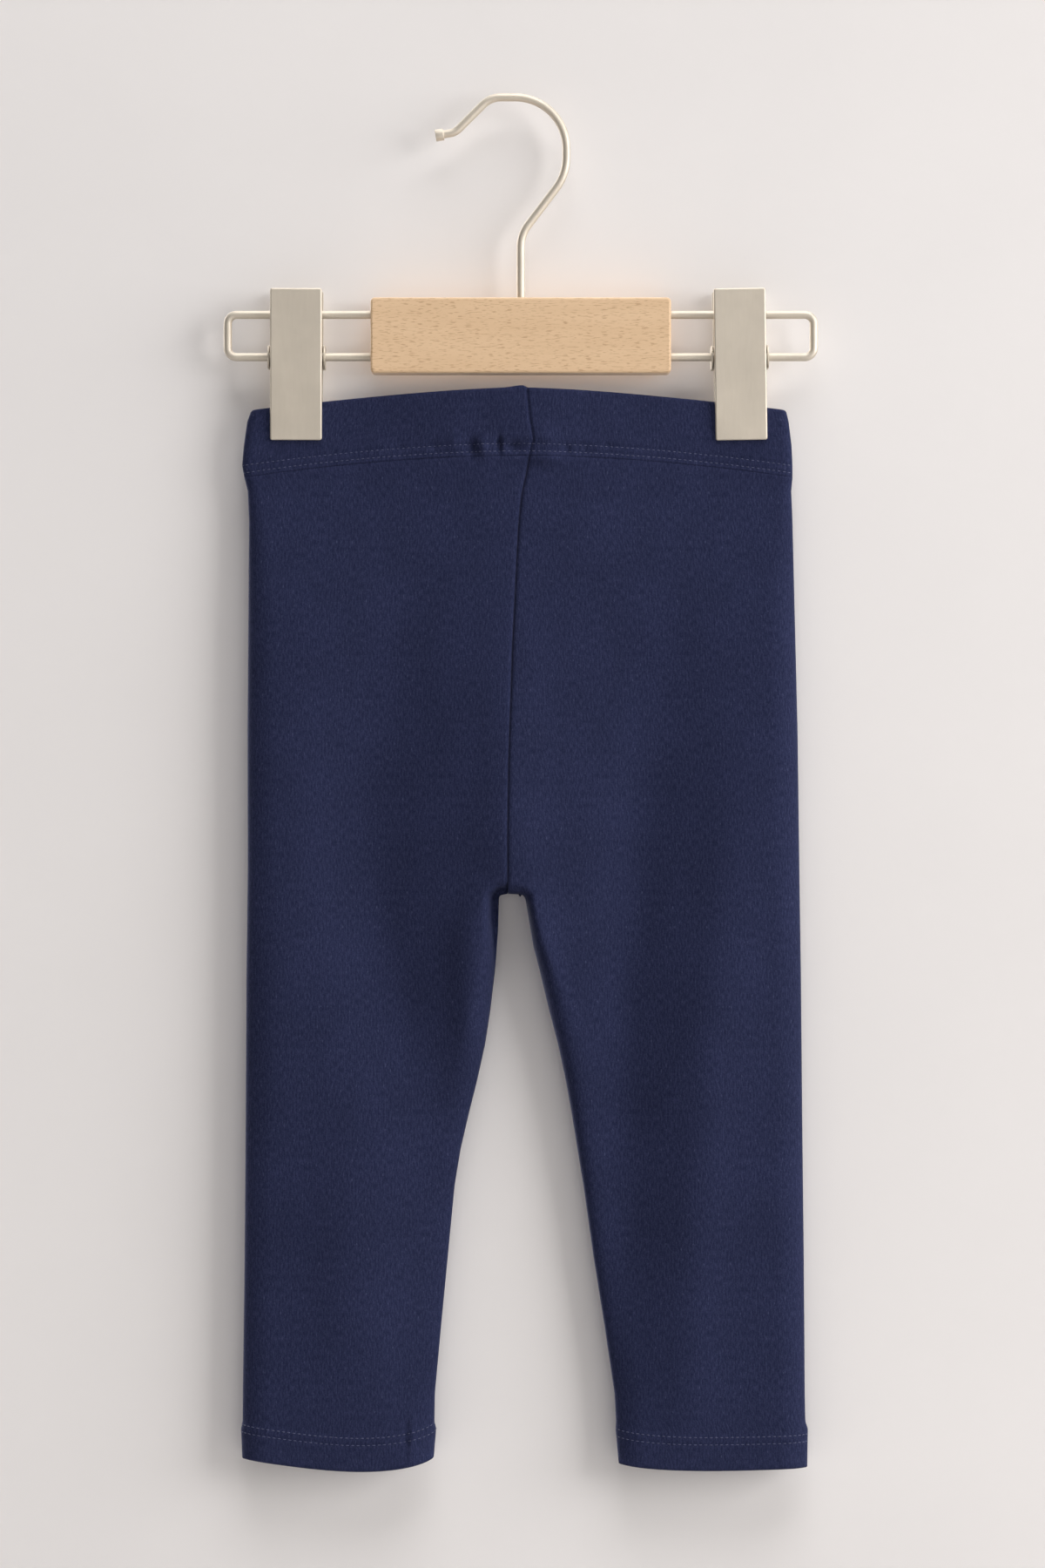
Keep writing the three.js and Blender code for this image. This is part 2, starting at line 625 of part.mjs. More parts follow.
function piece(name, geometry, material) {
  const mesh = new THREE.Mesh(geometry, material.clone());
  mesh.name = name;
  return mesh;
}

const garment = new THREE.Group();
garment.add(
  piece("waistband", waistband(), MATERIALS.jersey),
  piece("leg_left", legPanel("left"), MATERIALS.jersey),
  piece("leg_right", legPanel("right"), MATERIALS.jersey),
);

const hanger = new THREE.Group();
hanger.add(
  piece("hanger_bar", hangerBar(), MATERIALS.beech),
  piece("hanger_wire", wireFrame(), MATERIALS.nickel),
  piece("hanger_hook", hook(), MATERIALS.nickel),
);
for (const { side, x, turnDeg } of CLIP_PLACES) {
  const clip = new THREE.Group();
  clip.position.set(x, 0, WIRE_FRAME.lowerZ);
  clip.rotation.y = THREE.MathUtils.degToRad(turnDeg);
  const spring = piece(`clip_${side}_spring`, clipSpring(), MATERIALS.spring);
  spring.rotation.y = -clip.rotation.y;
  clip.add(
    piece(`clip_${side}_front_jaw`, clipJaw("front"), MATERIALS.nickel),
    piece(`clip_${side}_back_jaw`, clipJaw("back"), MATERIALS.nickel),
    spring,
  );
  hanger.add(clip);
}

const part = new THREE.Group();
part.add(garment, hanger);
export default part;
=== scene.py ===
import math

import bpy
import numpy as np
from mathutils import Matrix, Vector


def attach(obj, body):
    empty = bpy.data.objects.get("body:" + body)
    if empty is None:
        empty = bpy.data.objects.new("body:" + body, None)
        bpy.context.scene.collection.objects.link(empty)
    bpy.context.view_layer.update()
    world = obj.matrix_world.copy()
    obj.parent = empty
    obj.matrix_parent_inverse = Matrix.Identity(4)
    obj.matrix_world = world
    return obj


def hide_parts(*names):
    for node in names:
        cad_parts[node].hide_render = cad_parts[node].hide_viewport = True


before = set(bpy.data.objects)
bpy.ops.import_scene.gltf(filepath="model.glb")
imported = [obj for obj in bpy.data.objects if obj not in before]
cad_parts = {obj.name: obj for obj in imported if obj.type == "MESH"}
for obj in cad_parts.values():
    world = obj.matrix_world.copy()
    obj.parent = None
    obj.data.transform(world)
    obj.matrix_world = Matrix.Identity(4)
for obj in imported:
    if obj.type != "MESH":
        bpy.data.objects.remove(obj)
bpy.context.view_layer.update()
MM = 0.001


# The camera stands straight in front of the hanging leggings, level with their middle, so it sees their back.
# A pixel of the picture is 0.34 mm at the garment, and the hook's inner top is at HOOK_PIXEL.
PICTURE_SIZE = (1200, 1800)
HOOK_PIXEL = (598, 116.5)
PIXEL = 0.34 * MM
CAMERA_DISTANCE = 2.0
SENSOR_MM = 36


def photo_point(across, down):
    return (across - HOOK_PIXEL[0]) * PIXEL, (HOOK_PIXEL[1] - down) * PIXEL


middle_x, middle_z = photo_point(PICTURE_SIZE[0] / 2, PICTURE_SIZE[1] / 2)
bpy.ops.object.camera_add(location=(middle_x, -CAMERA_DISTANCE, middle_z), rotation=(math.pi / 2, 0, 0))
camera = bpy.context.object
camera.data.sensor_width = SENSOR_MM
camera.data.lens = SENSOR_MM * CAMERA_DISTANCE / (PICTURE_SIZE[1] * PIXEL)
bpy.context.scene.camera = camera
bpy.context.scene.view_settings.view_transform = "Standard"


# A pale plastered wall close behind the hanger and a pale floor below it. Each is one plane that shows its
# front only and lets light by, so that the hanger can be looked at from behind and from below too.
WALL_Y = 0.0115
FLOOR_Z = -0.75
STAGE_HALF = 3.2
WALL_PAINT = (0.765, 0.742, 0.742)
FLOOR_PAINT = (0.46, 0.45, 0.44)


def deselect_all():
    if bpy.context.mode != "OBJECT":
        bpy.ops.object.mode_set(mode="OBJECT")
    bpy.ops.object.select_all(action="DESELECT")


def new_material(name):
    """A new node material, its shader and a function that adds a node. An input is given by its name, or by
    its number after an i, and is either linked or set."""
    material = bpy.data.materials.new(name)
    material.use_nodes = True
    tree = material.node_tree
    shader = tree.nodes["Principled BSDF"]

    def add(kind, settings=None, **inputs):
        node = tree.nodes.new(kind)
        for key, value in (settings or {}).items():
            setattr(node, key, value)
        for key, value in inputs.items():
            socket = node.inputs[int(key[1:])] if key[0] == "i" and key[1:].isdigit() else node.inputs[key]
            if isinstance(value, bpy.types.NodeSocket):
                tree.links.new(value, socket)
            else:
                socket.default_value = value
        return node

    return material, shader, add


def colour_ramp(add, factor, *stops):
    """A ramp through (place, colour) stops."""
    ramp = add("ShaderNodeValToRGB", Fac=factor)
    elements = ramp.color_ramp.elements
    while len(elements) < len(stops):
        elements.new(0.5)
    for element, (place, colour) in zip(elements, stops):
        element.position = place
        element.color = (*colour, 1)
    return ramp.outputs["Color"]


def mix_colours(add, share, first, second, blend="MIX"):
    """The second colour laid over the first, by a share from 0 to 1."""
    settings = {"data_type": "RGBA", "blend_type": blend}
    return add("ShaderNodeMix", settings, i0=share, i6=first, i7=second).outputs[2]


def plaster(name, tint):
    material, shader, add = new_material(name)
    tree = material.node_tree
    place = add("ShaderNodeTexCoord").outputs["Object"]
    mottle = add("ShaderNodeTexNoise", Vector=place, Scale=5.0, Detail=3.0).outputs["Fac"]
    darker = tuple(0.97 * part for part in tint)
    tree.links.new(colour_ramp(add, mottle, (0.35, darker), (0.65, tint)), shader.inputs["Base Color"])
    shader.inputs["Roughness"].default_value = 0.9
    shader.inputs["Specular IOR Level"].default_value = 0.2
    behind = add("ShaderNodeNewGeometry").outputs["Backfacing"]
    shadow = add("ShaderNodeLightPath").outputs["Is Shadow Ray"]
    see_through = add("ShaderNodeMath", {"operation": "MAXIMUM"}, i0=behind, i1=shadow).outputs[0]
    clear = add("ShaderNodeBsdfTransparent").outputs["BSDF"]
    mixed = add("ShaderNodeMixShader", i0=see_through, i1=shader.outputs["BSDF"], i2=clear)
    tree.links.new(mixed.outputs["Shader"], tree.nodes["Material Output"].inputs["Surface"])
    return material


deselect_all()
bpy.ops.mesh.primitive_plane_add(
    size=2 * STAGE_HALF, location=(0, WALL_Y, 0), rotation=(math.pi / 2, 0, 0))
wall = bpy.context.object
wall.name = "wall"
wall.data.materials.append(plaster("wall paint", WALL_PAINT))
bpy.ops.mesh.primitive_plane_add(size=2 * STAGE_HALF, location=(0, 0, FLOOR_Z))
floor = bpy.context.object
floor.name = "floor"
floor.data.materials.append(plaster("floor paint", FLOOR_PAINT))


# Soft studio light: a broad light from the right and one from above, both raking across the cloth, and a dim
# card in front that the metal reflects. Three like them behind the wall serve the views of the far side. Each
# has its name, its place and its size in metres, its watts and its colour.
AIM = Vector((0, 0, middle_z))
LIGHTS = [
    ("right", (2.7, -1.3, 0.35), (2.7, 1.6), 90, (1, 0.985, 0.965)),
    ("above", (0.5, -1.3, 2.9), (2.6, 2.2), 90, (1, 0.985, 0.97)),
    ("card", (0.15, -2.6, -0.45), (1.5, 1.5), 6, (1, 0.97, 0.93)),
    ("far right", (-2.2, 2.4, 0.7), (2.4, 1.6), 100, (1, 0.99, 0.98)),
    ("far above", (-0.5, 1.6, 2.7), (2.4, 2.2), 70, (1, 0.99, 0.98)),
    ("far card", (-0.15, 2.6, -0.45), (1.5, 1.5), 10, (1, 0.97, 0.93)),
]
WORLD_COLOUR = (0.93, 0.92, 0.91, 1)
WORLD_STRENGTH = 0.08
for light_name, place, light_size, watts, colour in LIGHTS:
    turn = (AIM - Vector(place)).to_track_quat("-Z", "Y").to_euler()
    bpy.ops.object.light_add(type="AREA", location=place, rotation=turn)
    bpy.context.object.name = light_name
    lamp = bpy.context.object.data
    lamp.shape = "RECTANGLE"
    lamp.size, lamp.size_y = light_size
    lamp.energy = watts
    lamp.color = colour
world = bpy.data.worlds.new("studio")
world.use_nodes = True
background = world.node_tree.nodes["Background"]
background.inputs["Color"].default_value = WORLD_COLOUR
background.inputs["Strength"].default_value = WORLD_STRENGTH
bpy.context.scene.world = world


# The hook is a straight wire bent in one plane, with a turned knob pressed on its end and its stem seated in
# the bar. It is plated in satin nickel, as all the metal but the clips' springs is. A corner is its x, its z
# and its bend's radius, in millimetres.
WIRE_DIAMETER = 3.2 * MM
WIRE_SIDES = 24
BEND_STEP = math.radians(5)
HOOK_CORNERS = [(-31.7, -13.1, 0), (-25.6, -12.1, 6), (-11.9, 1.6, 10), (17.8, 1.6, 19.9),
                (17.8, -28.6, 19.9), (0, -52, 14), (0, -80, 0)]
KNOB_DIAMETER = 4.7 * MM
KNOB_LENGTH = 3.3 * MM
KNOB_TILT = math.radians(81)
KNOB_EDGE = 0.8 * MM
MERGE_DISTANCE = 0.01 * MM
ROUND_ANGLE = math.radians(50)


def bend_wire(name, corners, diameter):
    """A wire led through its corners: straight runs, and bends spun about their centres."""
    deselect_all()
    points = [Vector((x, 0, z)) * MM for x, z, _ in corners]
    heading = (points[1] - points[0]).normalized()
    facing = heading.to_track_quat("Z", "Y").to_euler()
    bpy.ops.mesh.primitive_circle_add(
        vertices=WIRE_SIDES, radius=diameter / 2, fill_type="NGON", location=points[0], rotation=facing)
    wire = bpy.context.object
    wire.name = name
    bpy.ops.object.transform_apply(location=True, rotation=True, scale=True)
    bpy.ops.object.mode_set(mode="EDIT")
    bpy.ops.mesh.select_all(action="SELECT")
    reached = points[0]
    for i in range(1, len(points)):
        turn, cut = 0, 0
        if i + 1 < len(points):
            onward = (points[i + 1] - points[i]).normalized()
            turn = math.atan2(heading.cross(onward).y, heading.dot(onward))
            cut = corners[i][2] * MM * math.tan(abs(turn) / 2)
        bend_start = points[i] - heading * cut
        bpy.ops.mesh.extrude_region_move(TRANSFORM_OT_translate={"value": bend_start - reached})
        reached = bend_start
        if turn:
            side = Vector((heading.z, 0, -heading.x)) * math.copysign(1, turn)
            centre = bend_start + side * corners[i][2] * MM
            steps = max(3, round(abs(turn) / BEND_STEP))
            bpy.ops.mesh.spin(steps=steps, angle=-turn, center=centre, axis=(0, 1, 0))
            heading = onward
            reached = points[i] + heading * cut
    bpy.ops.mesh.select_all(action="SELECT")
    bpy.ops.mesh.remove_doubles(threshold=MERGE_DISTANCE)
    bpy.ops.mesh.normals_make_consistent(inside=False)
    bpy.ops.object.mode_set(mode="OBJECT")
    bpy.ops.object.shade_smooth_by_angle(angle=ROUND_ANGLE)
    return wire


def satin_metal(name, tint, roughness):
    """Brushed metal, a little cloudy in its colour and uneven in its shine."""
    material, shader, add = new_material(name)
    tree = material.node_tree
    place = add("ShaderNodeTexCoord").outputs["Object"]
    stretched = add("ShaderNodeMapping", Vector=place, Scale=(900, 900, 90)).outputs["Vector"]
    brushed = add("ShaderNodeTexNoise", Vector=stretched, Scale=1.0, Detail=2.0).outputs["Fac"]
    cloud = add("ShaderNodeTexNoise", Vector=place, Scale=60.0, Detail=3.0).outputs["Fac"]
    rough = add("ShaderNodeMapRange", Value=brushed)
    rough.inputs["To Min"].default_value = roughness - 0.06
    rough.inputs["To Max"].default_value = roughness + 0.08
    tree.links.new(rough.outputs["Result"], shader.inputs["Roughness"])
    dull = tuple(0.9 * part for part in tint)
    tree.links.new(colour_ramp(add, cloud, (0.3, dull), (0.7, tint)), shader.inputs["Base Color"])
    shader.inputs["Metallic"].default_value = 1.0
    bump = add("ShaderNodeBump", Height=brushed, Strength=0.12, Distance=0.00004)
    tree.links.new(bump.outputs["Normal"], shader.inputs["Normal"])
    return material


def place_piece(piece, material, slot, *nodes):
    """Gives a finished piece its material, lets it ride on the one body and stand for its CAD nodes."""
    piece.data.materials.clear()
    piece.data.materials.append(material)
    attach(piece, "root")
    if nodes:
        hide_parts(*nodes)


def join_pieces(whole, *others):
    deselect_all()
    for piece in (*others, whole):
        piece.select_set(True)
    bpy.context.view_layer.objects.active = whole
    bpy.ops.object.join()


nickel = satin_metal("satin nickel", tint=(0.69, 0.63, 0.545), roughness=0.6)
hook = bend_wire("hook", HOOK_CORNERS, WIRE_DIAMETER)
knob_x, knob_z, _ = HOOK_CORNERS[0]
bpy.ops.mesh.primitive_cylinder_add(
    vertices=WIRE_SIDES, radius=KNOB_DIAMETER / 2, depth=KNOB_LENGTH,
    location=(knob_x * MM, 0, knob_z * MM), rotation=(0, KNOB_TILT, 0))
knob = bpy.context.object
bpy.ops.object.mode_set(mode="EDIT")
bpy.ops.mesh.select_all(action="SELECT")
bpy.ops.mesh.bevel(offset=KNOB_EDGE, segments=4, affect="EDGES", clamp_overlap=True)
bpy.ops.object.mode_set(mode="OBJECT")
bpy.ops.object.transform_apply(location=True, rotation=True, scale=True)
bpy.ops.object.shade_smooth_by_angle(angle=ROUND_ANGLE)
join_pieces(hook, knob)
place_piece(hook, nickel, "nickel", "hanger_hook")


# The wire frame is one wire bent to a long loop with round corners. Its ends meet inside the bar, and the
# clips turn on its lower run.
FRAME_HALF = 114.4
FRAME_UPPER_Z = -83.3
FRAME_LOWER_Z = -99.8
FRAME_BEND = 3.5
FRAME_END = 0.3
FRAME_CORNERS = [(FRAME_END, FRAME_LOWER_Z, 0), (FRAME_HALF, FRAME_LOWER_Z, FRAME_BEND),
                 (FRAME_HALF, FRAME_UPPER_Z, FRAME_BEND), (-FRAME_HALF, FRAME_UPPER_Z, FRAME_BEND),
                 (-FRAME_HALF, FRAME_LOWER_Z, FRAME_BEND), (-FRAME_END, FRAME_LOWER_Z, 0)]
wire_frame = bend_wire("wire_frame", FRAME_CORNERS, WIRE_DIAMETER)
place_piece(wire_frame, nickel, "nickel", "hanger_wire")


# The bar is a block of beech with eased edges, bored lengthwise for both runs of the wire frame. Its grain
# runs along it, with the short dark flecks of beech.
BAR_SIZE = (117 * MM, 13 * MM, 29.4 * MM)
BAR_TOP_Z = -77 * MM
BAR_CORNER = 1.7 * MM
BAR_EDGE = 0.9 * MM
BORE_DIAMETER = 3.7 * MM
BORE_SIDES = 32
CRISP_ANGLE = math.radians(35)
SAME_PLACE = 1e-6
FLECK_COLOUR = (0.40, 0.24, 0.13, 1)


def apply_modifier(piece, kind, **settings):
    deselect_all()
    piece.select_set(True)
    bpy.context.view_layer.objects.active = piece
    modifier = piece.modifiers.new(kind.lower(), kind)
    for key, value in settings.items():
        setattr(modifier, key, value)
    bpy.ops.object.modifier_apply(modifier=modifier.name)


def combine(piece, tool, operation):
    apply_modifier(piece, "BOOLEAN", object=tool, operation=operation, solver="EXACT")
    bpy.data.objects.remove(tool, do_unlink=True)


def rod_along_x(radius, length, x, z):
    bpy.ops.mesh.primitive_cylinder_add(
        vertices=BORE_SIDES, radius=radius, depth=length, location=(x, 0, z), rotation=(0, math.pi / 2, 0))
    bpy.ops.object.transform_apply(location=True, rotation=True, scale=True)
    return bpy.context.object


def bevel_edges(piece, offset, segments, wanted):
    """Rounds the edges for which wanted(start, end) is true, in the piece's own coordinates."""
    deselect_all()
    piece.select_set(True)
    bpy.context.view_layer.objects.active = piece
    bpy.ops.object.mode_set(mode="EDIT")
    bpy.ops.mesh.select_all(action="DESELECT")
    bpy.ops.mesh.select_mode(type="EDGE")
    bpy.ops.object.mode_set(mode="OBJECT")
    for edge in piece.data.edges:
        start, end = (piece.data.vertices[v].co for v in edge.vertices)
        edge.select = bool(wanted(start, end))
    bpy.ops.object.mode_set(mode="EDIT")
    bpy.ops.mesh.bevel(offset=offset, segments=segments, affect="EDGES")
    bpy.ops.mesh.select_mode(type="VERT")
    bpy.ops.object.mode_set(mode="OBJECT")


def keep_flat(piece, area):
    """Shades the broad faces flat, so that the small bevels beside them don't bend their light."""
    for face in piece.data.polygons:
        if face.area > area:
            face.use_smooth = False


def beech_wood():
    material, shader, add = new_material("beech")
    tree = material.node_tree
    place = add("ShaderNodeTexCoord").outputs["Object"]
    along = add("ShaderNodeMapping", Vector=place, Scale=(14, 130, 130)).outputs["Vector"]
    grain = add("ShaderNodeTexNoise", Vector=along, Scale=1.6, Detail=6.0, Roughness=0.6).outputs["Fac"]
    fine_along = add("ShaderNodeMapping", Vector=place, Scale=(320, 2600, 2600)).outputs["Vector"]
    flecks = add("ShaderNodeTexNoise", Vector=fine_along, Scale=1.0, Detail=1.0).outputs["Fac"]
    ground = colour_ramp(add, grain, (0.3, (0.640, 0.445, 0.275)), (0.5, (0.670, 0.472, 0.297)),
                         (0.72, (0.693, 0.493, 0.315)))
    fleck_share = colour_ramp(add, flecks, (0.57, (0, 0, 0)), (0.66, (1, 1, 1)))
    fleck_amount = add("ShaderNodeMath", {"operation": "MULTIPLY"}, i0=fleck_share, i1=0.6).outputs[0]
    tree.links.new(mix_colours(add, fleck_amount, ground, FLECK_COLOUR), shader.inputs["Base Color"])
    shader.inputs["Roughness"].default_value = 0.5
    shader.inputs["Specular IOR Level"].default_value = 0.35
    bump = add("ShaderNodeBump", Height=flecks, Strength=0.15, Distance=0.00008)
    tree.links.new(bump.outputs["Normal"], shader.inputs["Normal"])
    return material


deselect_all()
bpy.ops.mesh.primitive_cube_add(size=1, location=(0, 0, BAR_TOP_Z - BAR_SIZE[2] / 2), scale=BAR_SIZE)
bar = bpy.context.object
bar.name = "bar"
bpy.ops.object.transform_apply(location=True, rotation=True, scale=True)
bevel_edges(bar, BAR_CORNER, 5, lambda a, b: abs(a.y - b.y) > BAR_SIZE[1] / 2)
bevel_edges(bar, BAR_EDGE, 4, lambda a, b: abs(a.y - b.y) < SAME_PLACE
            and abs(abs(a.y) - BAR_SIZE[1] / 2) < SAME_PLACE)
for bore_z in (FRAME_UPPER_Z, FRAME_LOWER_Z):
    combine(bar, rod_along_x(BORE_DIAMETER / 2, 2 * BAR_SIZE[0], 0, bore_z * MM), "DIFFERENCE")
deselect_all()
bar.select_set(True)
bpy.context.view_layer.objects.active = bar
bpy.ops.object.shade_smooth_by_angle(angle=CRISP_ANGLE)
keep_flat(bar, BAR_SIZE[1] * BAR_SIZE[1])
place_piece(bar, beech_wood(), "beech", "hanger_bar")


# Each clip is two pressed steel jaws that turn on the frame's lower run, held shut by a coil spring. A jaw is
# a flat plate with lips bent back along both sides and a rounded outline, and two ears round the wire, the
# back jaw's outside. A clip is given by its side, its place along the wire and how far it hangs askew.
CLIP_WIDTH = 20.2 * MM
CLIP_HEIGHT = 59 * MM
CLIP_ABOVE_PIVOT = 26.3 * MM
PLATE = 1.0 * MM
LIP = 1.3 * MM
EAR = 0.55 * MM
EAR_GAP = 0.55 * MM
EAR_RADIUS = 4.6 * MM
EAR_HOLE = 2.05 * MM
CLIP_TILT = math.radians(5)
JAW_TIP_INSIDE = 3.05 * MM
CLIP_CORNER = 0.9 * MM
CLIP_EDGE = 0.2 * MM
FRONT_ROUND = 0.6 * MM
STRAP_INSET = 0.1 * PLATE
WEB_HALF = 0.92 * EAR_RADIUS
SHARP_ANGLE = math.radians(40)
CLIPS = [("left", -87.5 * MM, math.radians(0.2)), ("right", 85.5 * MM, math.radians(-1))]


def box_piece(low, high):
    centre = (Vector(low) + Vector(high)) / 2
    bpy.ops.mesh.primitive_cube_add(size=1, location=centre, scale=Vector(high) - Vector(low))
    bpy.ops.object.transform_apply(location=True, rotation=True, scale=True)
    return bpy.context.object


def clip_jaw(ears_outside):
    """A jaw about its pivot at the origin, on the camera's side."""
    deselect_all()
    below = CLIP_HEIGHT - CLIP_ABOVE_PIVOT
    inside = JAW_TIP_INSIDE + below * math.tan(CLIP_TILT)
    half = CLIP_WIDTH / 2
    jaw = box_piece((-half, -inside - PLATE, -below), (half, -inside, CLIP_ABOVE_PIVOT))
    bpy.ops.object.mode_set(mode="EDIT")
    for side in (-1, 1):
        bpy.ops.mesh.select_all(action="SELECT")
        bpy.ops.mesh.bisect(plane_co=(side * (half - PLATE), 0, 0), plane_no=(1, 0, 0))
    bpy.ops.mesh.select_all(action="DESELECT")
    bpy.ops.mesh.select_mode(type="FACE")
    bpy.ops.object.mode_set(mode="OBJECT")
    for face in jaw.data.polygons:
        face.select = face.normal.y > 0.9 and abs(face.center.x) > half - PLATE
    bpy.ops.object.mode_set(mode="EDIT")
    bpy.ops.mesh.extrude_region_move(TRANSFORM_OT_translate={"value": (0, LIP, 0)})
    bpy.ops.mesh.select_mode(type="VERT")
    bpy.ops.object.mode_set(mode="OBJECT")

    def at_plate_corner(a, b):
        runs_back = abs(a.x - b.x) < SAME_PLACE and abs(a.z - b.z) < SAME_PLACE and abs(a.y - b.y) > PLATE / 2
        at_end = abs(a.z + below) < SAME_PLACE or abs(a.z - CLIP_ABOVE_PIVOT) < SAME_PLACE
        return runs_back and at_end and abs(abs(a.x) - half) < SAME_PLACE

    def on_front_outline(a, b):
        on_front = max(a.y, b.y) < -inside - 0.99 * PLATE
        return on_front and (abs(a.x - b.x) > SAME_PLACE or abs(a.x) > half - PLATE / 2)

    bevel_edges(jaw, CLIP_CORNER, 4, at_plate_corner)
    bevel_edges(jaw, FRONT_ROUND, 4, on_front_outline)
    tilt = Matrix.Rotation(CLIP_TILT, 4, "X")
    centre = Vector((0, -inside, 0))
    jaw.data.transform(Matrix.Translation(centre) @ tilt @ Matrix.Translation(-centre))
    ear_inner = half + EAR_GAP if ears_outside else half - EAR
    if ears_outside:
        reach = ear_inner + EAR
        strap = box_piece((-reach, -inside - PLATE + STRAP_INSET, -EAR_RADIUS),
                          (reach, -inside - STRAP_INSET, EAR_RADIUS))
        combine(jaw, strap, "UNION")
    for side in (-1, 1):
        ear_x = side * (ear_inner + EAR / 2)
        deselect_all()
        combine(jaw, rod_along_x(EAR_RADIUS, EAR, ear_x, 0), "UNION")
        web = box_piece((ear_x - EAR / 2, -inside - PLATE / 2, -WEB_HALF), (ear_x + EAR / 2, 0, WEB_HALF))
        combine(jaw, web, "UNION")
    deselect_all()
    combine(jaw, rod_along_x(EAR_HOLE, 2 * CLIP_WIDTH, 0, 0), "DIFFERENCE")
    apply_modifier(jaw, "BEVEL", width=CLIP_EDGE, segments=3, limit_method="ANGLE", angle_limit=SHARP_ANGLE)
    bpy.ops.object.shade_smooth_by_angle(angle=CRISP_ANGLE)
    keep_flat(jaw, CLIP_WIDTH * PLATE)
    return jaw


SPRING_TURNS = 13
SPRING_WIRE = 0.6 * MM
SPRING_RADIUS = 2.75 * MM
SPRING_LENGTH = 16.6 * MM
COIL_SIDES = 8
COIL_STEPS = 20 * SPRING_TURNS
COIL_ANGLE = math.radians(60)


def clip_spring():
    """A close coil round the frame's wire."""
    deselect_all()
    bpy.ops.mesh.primitive_circle_add(
        vertices=COIL_SIDES, radius=SPRING_WIRE, location=(SPRING_RADIUS, 0, 0), rotation=(math.pi / 2, 0, 0))
    spring = bpy.context.object
    bpy.ops.object.transform_apply(location=True, rotation=True, scale=True)
    apply_modifier(spring, "SCREW", angle=2 * math.pi * SPRING_TURNS, screw_offset=SPRING_LENGTH,
                   steps=COIL_STEPS, render_steps=COIL_STEPS, use_merge_vertices=False)
    bpy.ops.object.mode_set(mode="EDIT")
    bpy.ops.mesh.select_all(action="SELECT")
    bpy.ops.mesh.fill_holes(sides=COIL_SIDES)
    bpy.ops.mesh.select_all(action="SELECT")
    bpy.ops.mesh.normals_make_consistent(inside=False)
    bpy.ops.object.mode_set(mode="OBJECT")
    bpy.ops.object.shade_smooth_by_angle(angle=COIL_ANGLE)
    centred = Matrix.Translation((0, 0, -SPRING_LENGTH / 2))
    spring.data.transform(Matrix.Rotation(math.pi / 2, 4, "Y") @ centred)
    return spring


def copy_piece(source, name, placing):
    piece = source.copy()
    piece.data = source.data.copy()
    piece.name = name
    piece.data.transform(placing)
    bpy.context.collection.objects.link(piece)
    return piece


spring_steel = satin_metal("spring steel", tint=(0.62, 0.60, 0.57), roughness=0.3)
front_jaw = clip_jaw(ears_outside=False)
back_jaw = clip_jaw(ears_outside=True)
coil = clip_spring()
for side, clip_x, clip_turn in CLIPS:
    at_wire = Matrix.Translation((clip_x, 0, FRAME_LOWER_Z * MM))
    turned = at_wire @ Matrix.Rotation(clip_turn, 4, "Y")
    face_back = turned @ Matrix.Rotation(math.pi, 4, "Z")
    front = copy_piece(front_jaw, f"clip_{side}_front", turned)
    place_piece(front, nickel, "nickel", f"clip_{side}_front_jaw")
    back = copy_piece(back_jaw, f"clip_{side}_back", face_back)
    place_piece(back, nickel, "nickel", f"clip_{side}_back_jaw")
    spring = copy_piece(coil, f"clip_{side}_coil", at_wire)
    place_piece(spring, spring_steel, "spring_steel", f"clip_{side}_spring")
for pattern in (front_jaw, back_jaw, coil):
    bpy.data.objects.remove(pattern, do_unlink=True)


# The waistband is a casing of the same jersey folded over flat elastic and stitched along its lower edge. The
# clips pinch it shut, and it hangs a little slack between them. From here on, lengths are in millimetres, and
# drops are distances below the band's top at the centre back.
WAIST_Z = -112
HALF_WAIST = 106
BAND_HEIGHT = 26.5
SIDE_DROP = 8.4
FRONT_SAG = 2
BAND_WALL = 2.3
BAND_CLIPPED_HALF = 2.75
BAND_EDGE_ROUND = 4
SLACK_HALF_SPAN = 76
SLACK_AT_BOTTOM = 3.4
SLACK_AT_TOP = 4.4
TOP_CURVE = 1.5
BOTTOM_CURVE = 1.9
RUCK = {"x": 1.5, "rise": 0.8, "left": 5, "right": 2.5}
SIDE_FOLDS = {
    "drop": [8, 13, 22, 30, 35, 40, 52, 93, 134, 188, 229, 284, 338, 392, 403, 406, 425],
    "left": [-105.0, -106.8, -108.1, -108.8, -107.9, -106.6, -106.1, -106.4, -106.7, -106.6,
             -107.1, -107.4, -107.8, -108.5, -108.6, -109.2, -108.5],
    "right": [103.4, 104.6, 105.7, 106.1, 106.1, 105.6, 106.1, 107.1, 108.1, 108.8,
              109.4, 109.9, 110.5, 110.9, 111.1, 112.1, 111.8],
}
CENTRE_SEAM = {
    "drop": [0, 12, 20, 26, 32, 42, 54, 100, 144, 170, 200],
    "x": [2.3, 3.5, 4.8, 3.4, 2.5, 0.3, -0.9, -3.2, -4.7, -5.1, -5.1],
}
SEAM_DITCH = {"width": 0.55, "depth": 0.75}
STITCH_ROWS = (-4.6, -1.7)
STITCH_PRESS = {"width": 0.7, "depth": 0.28}
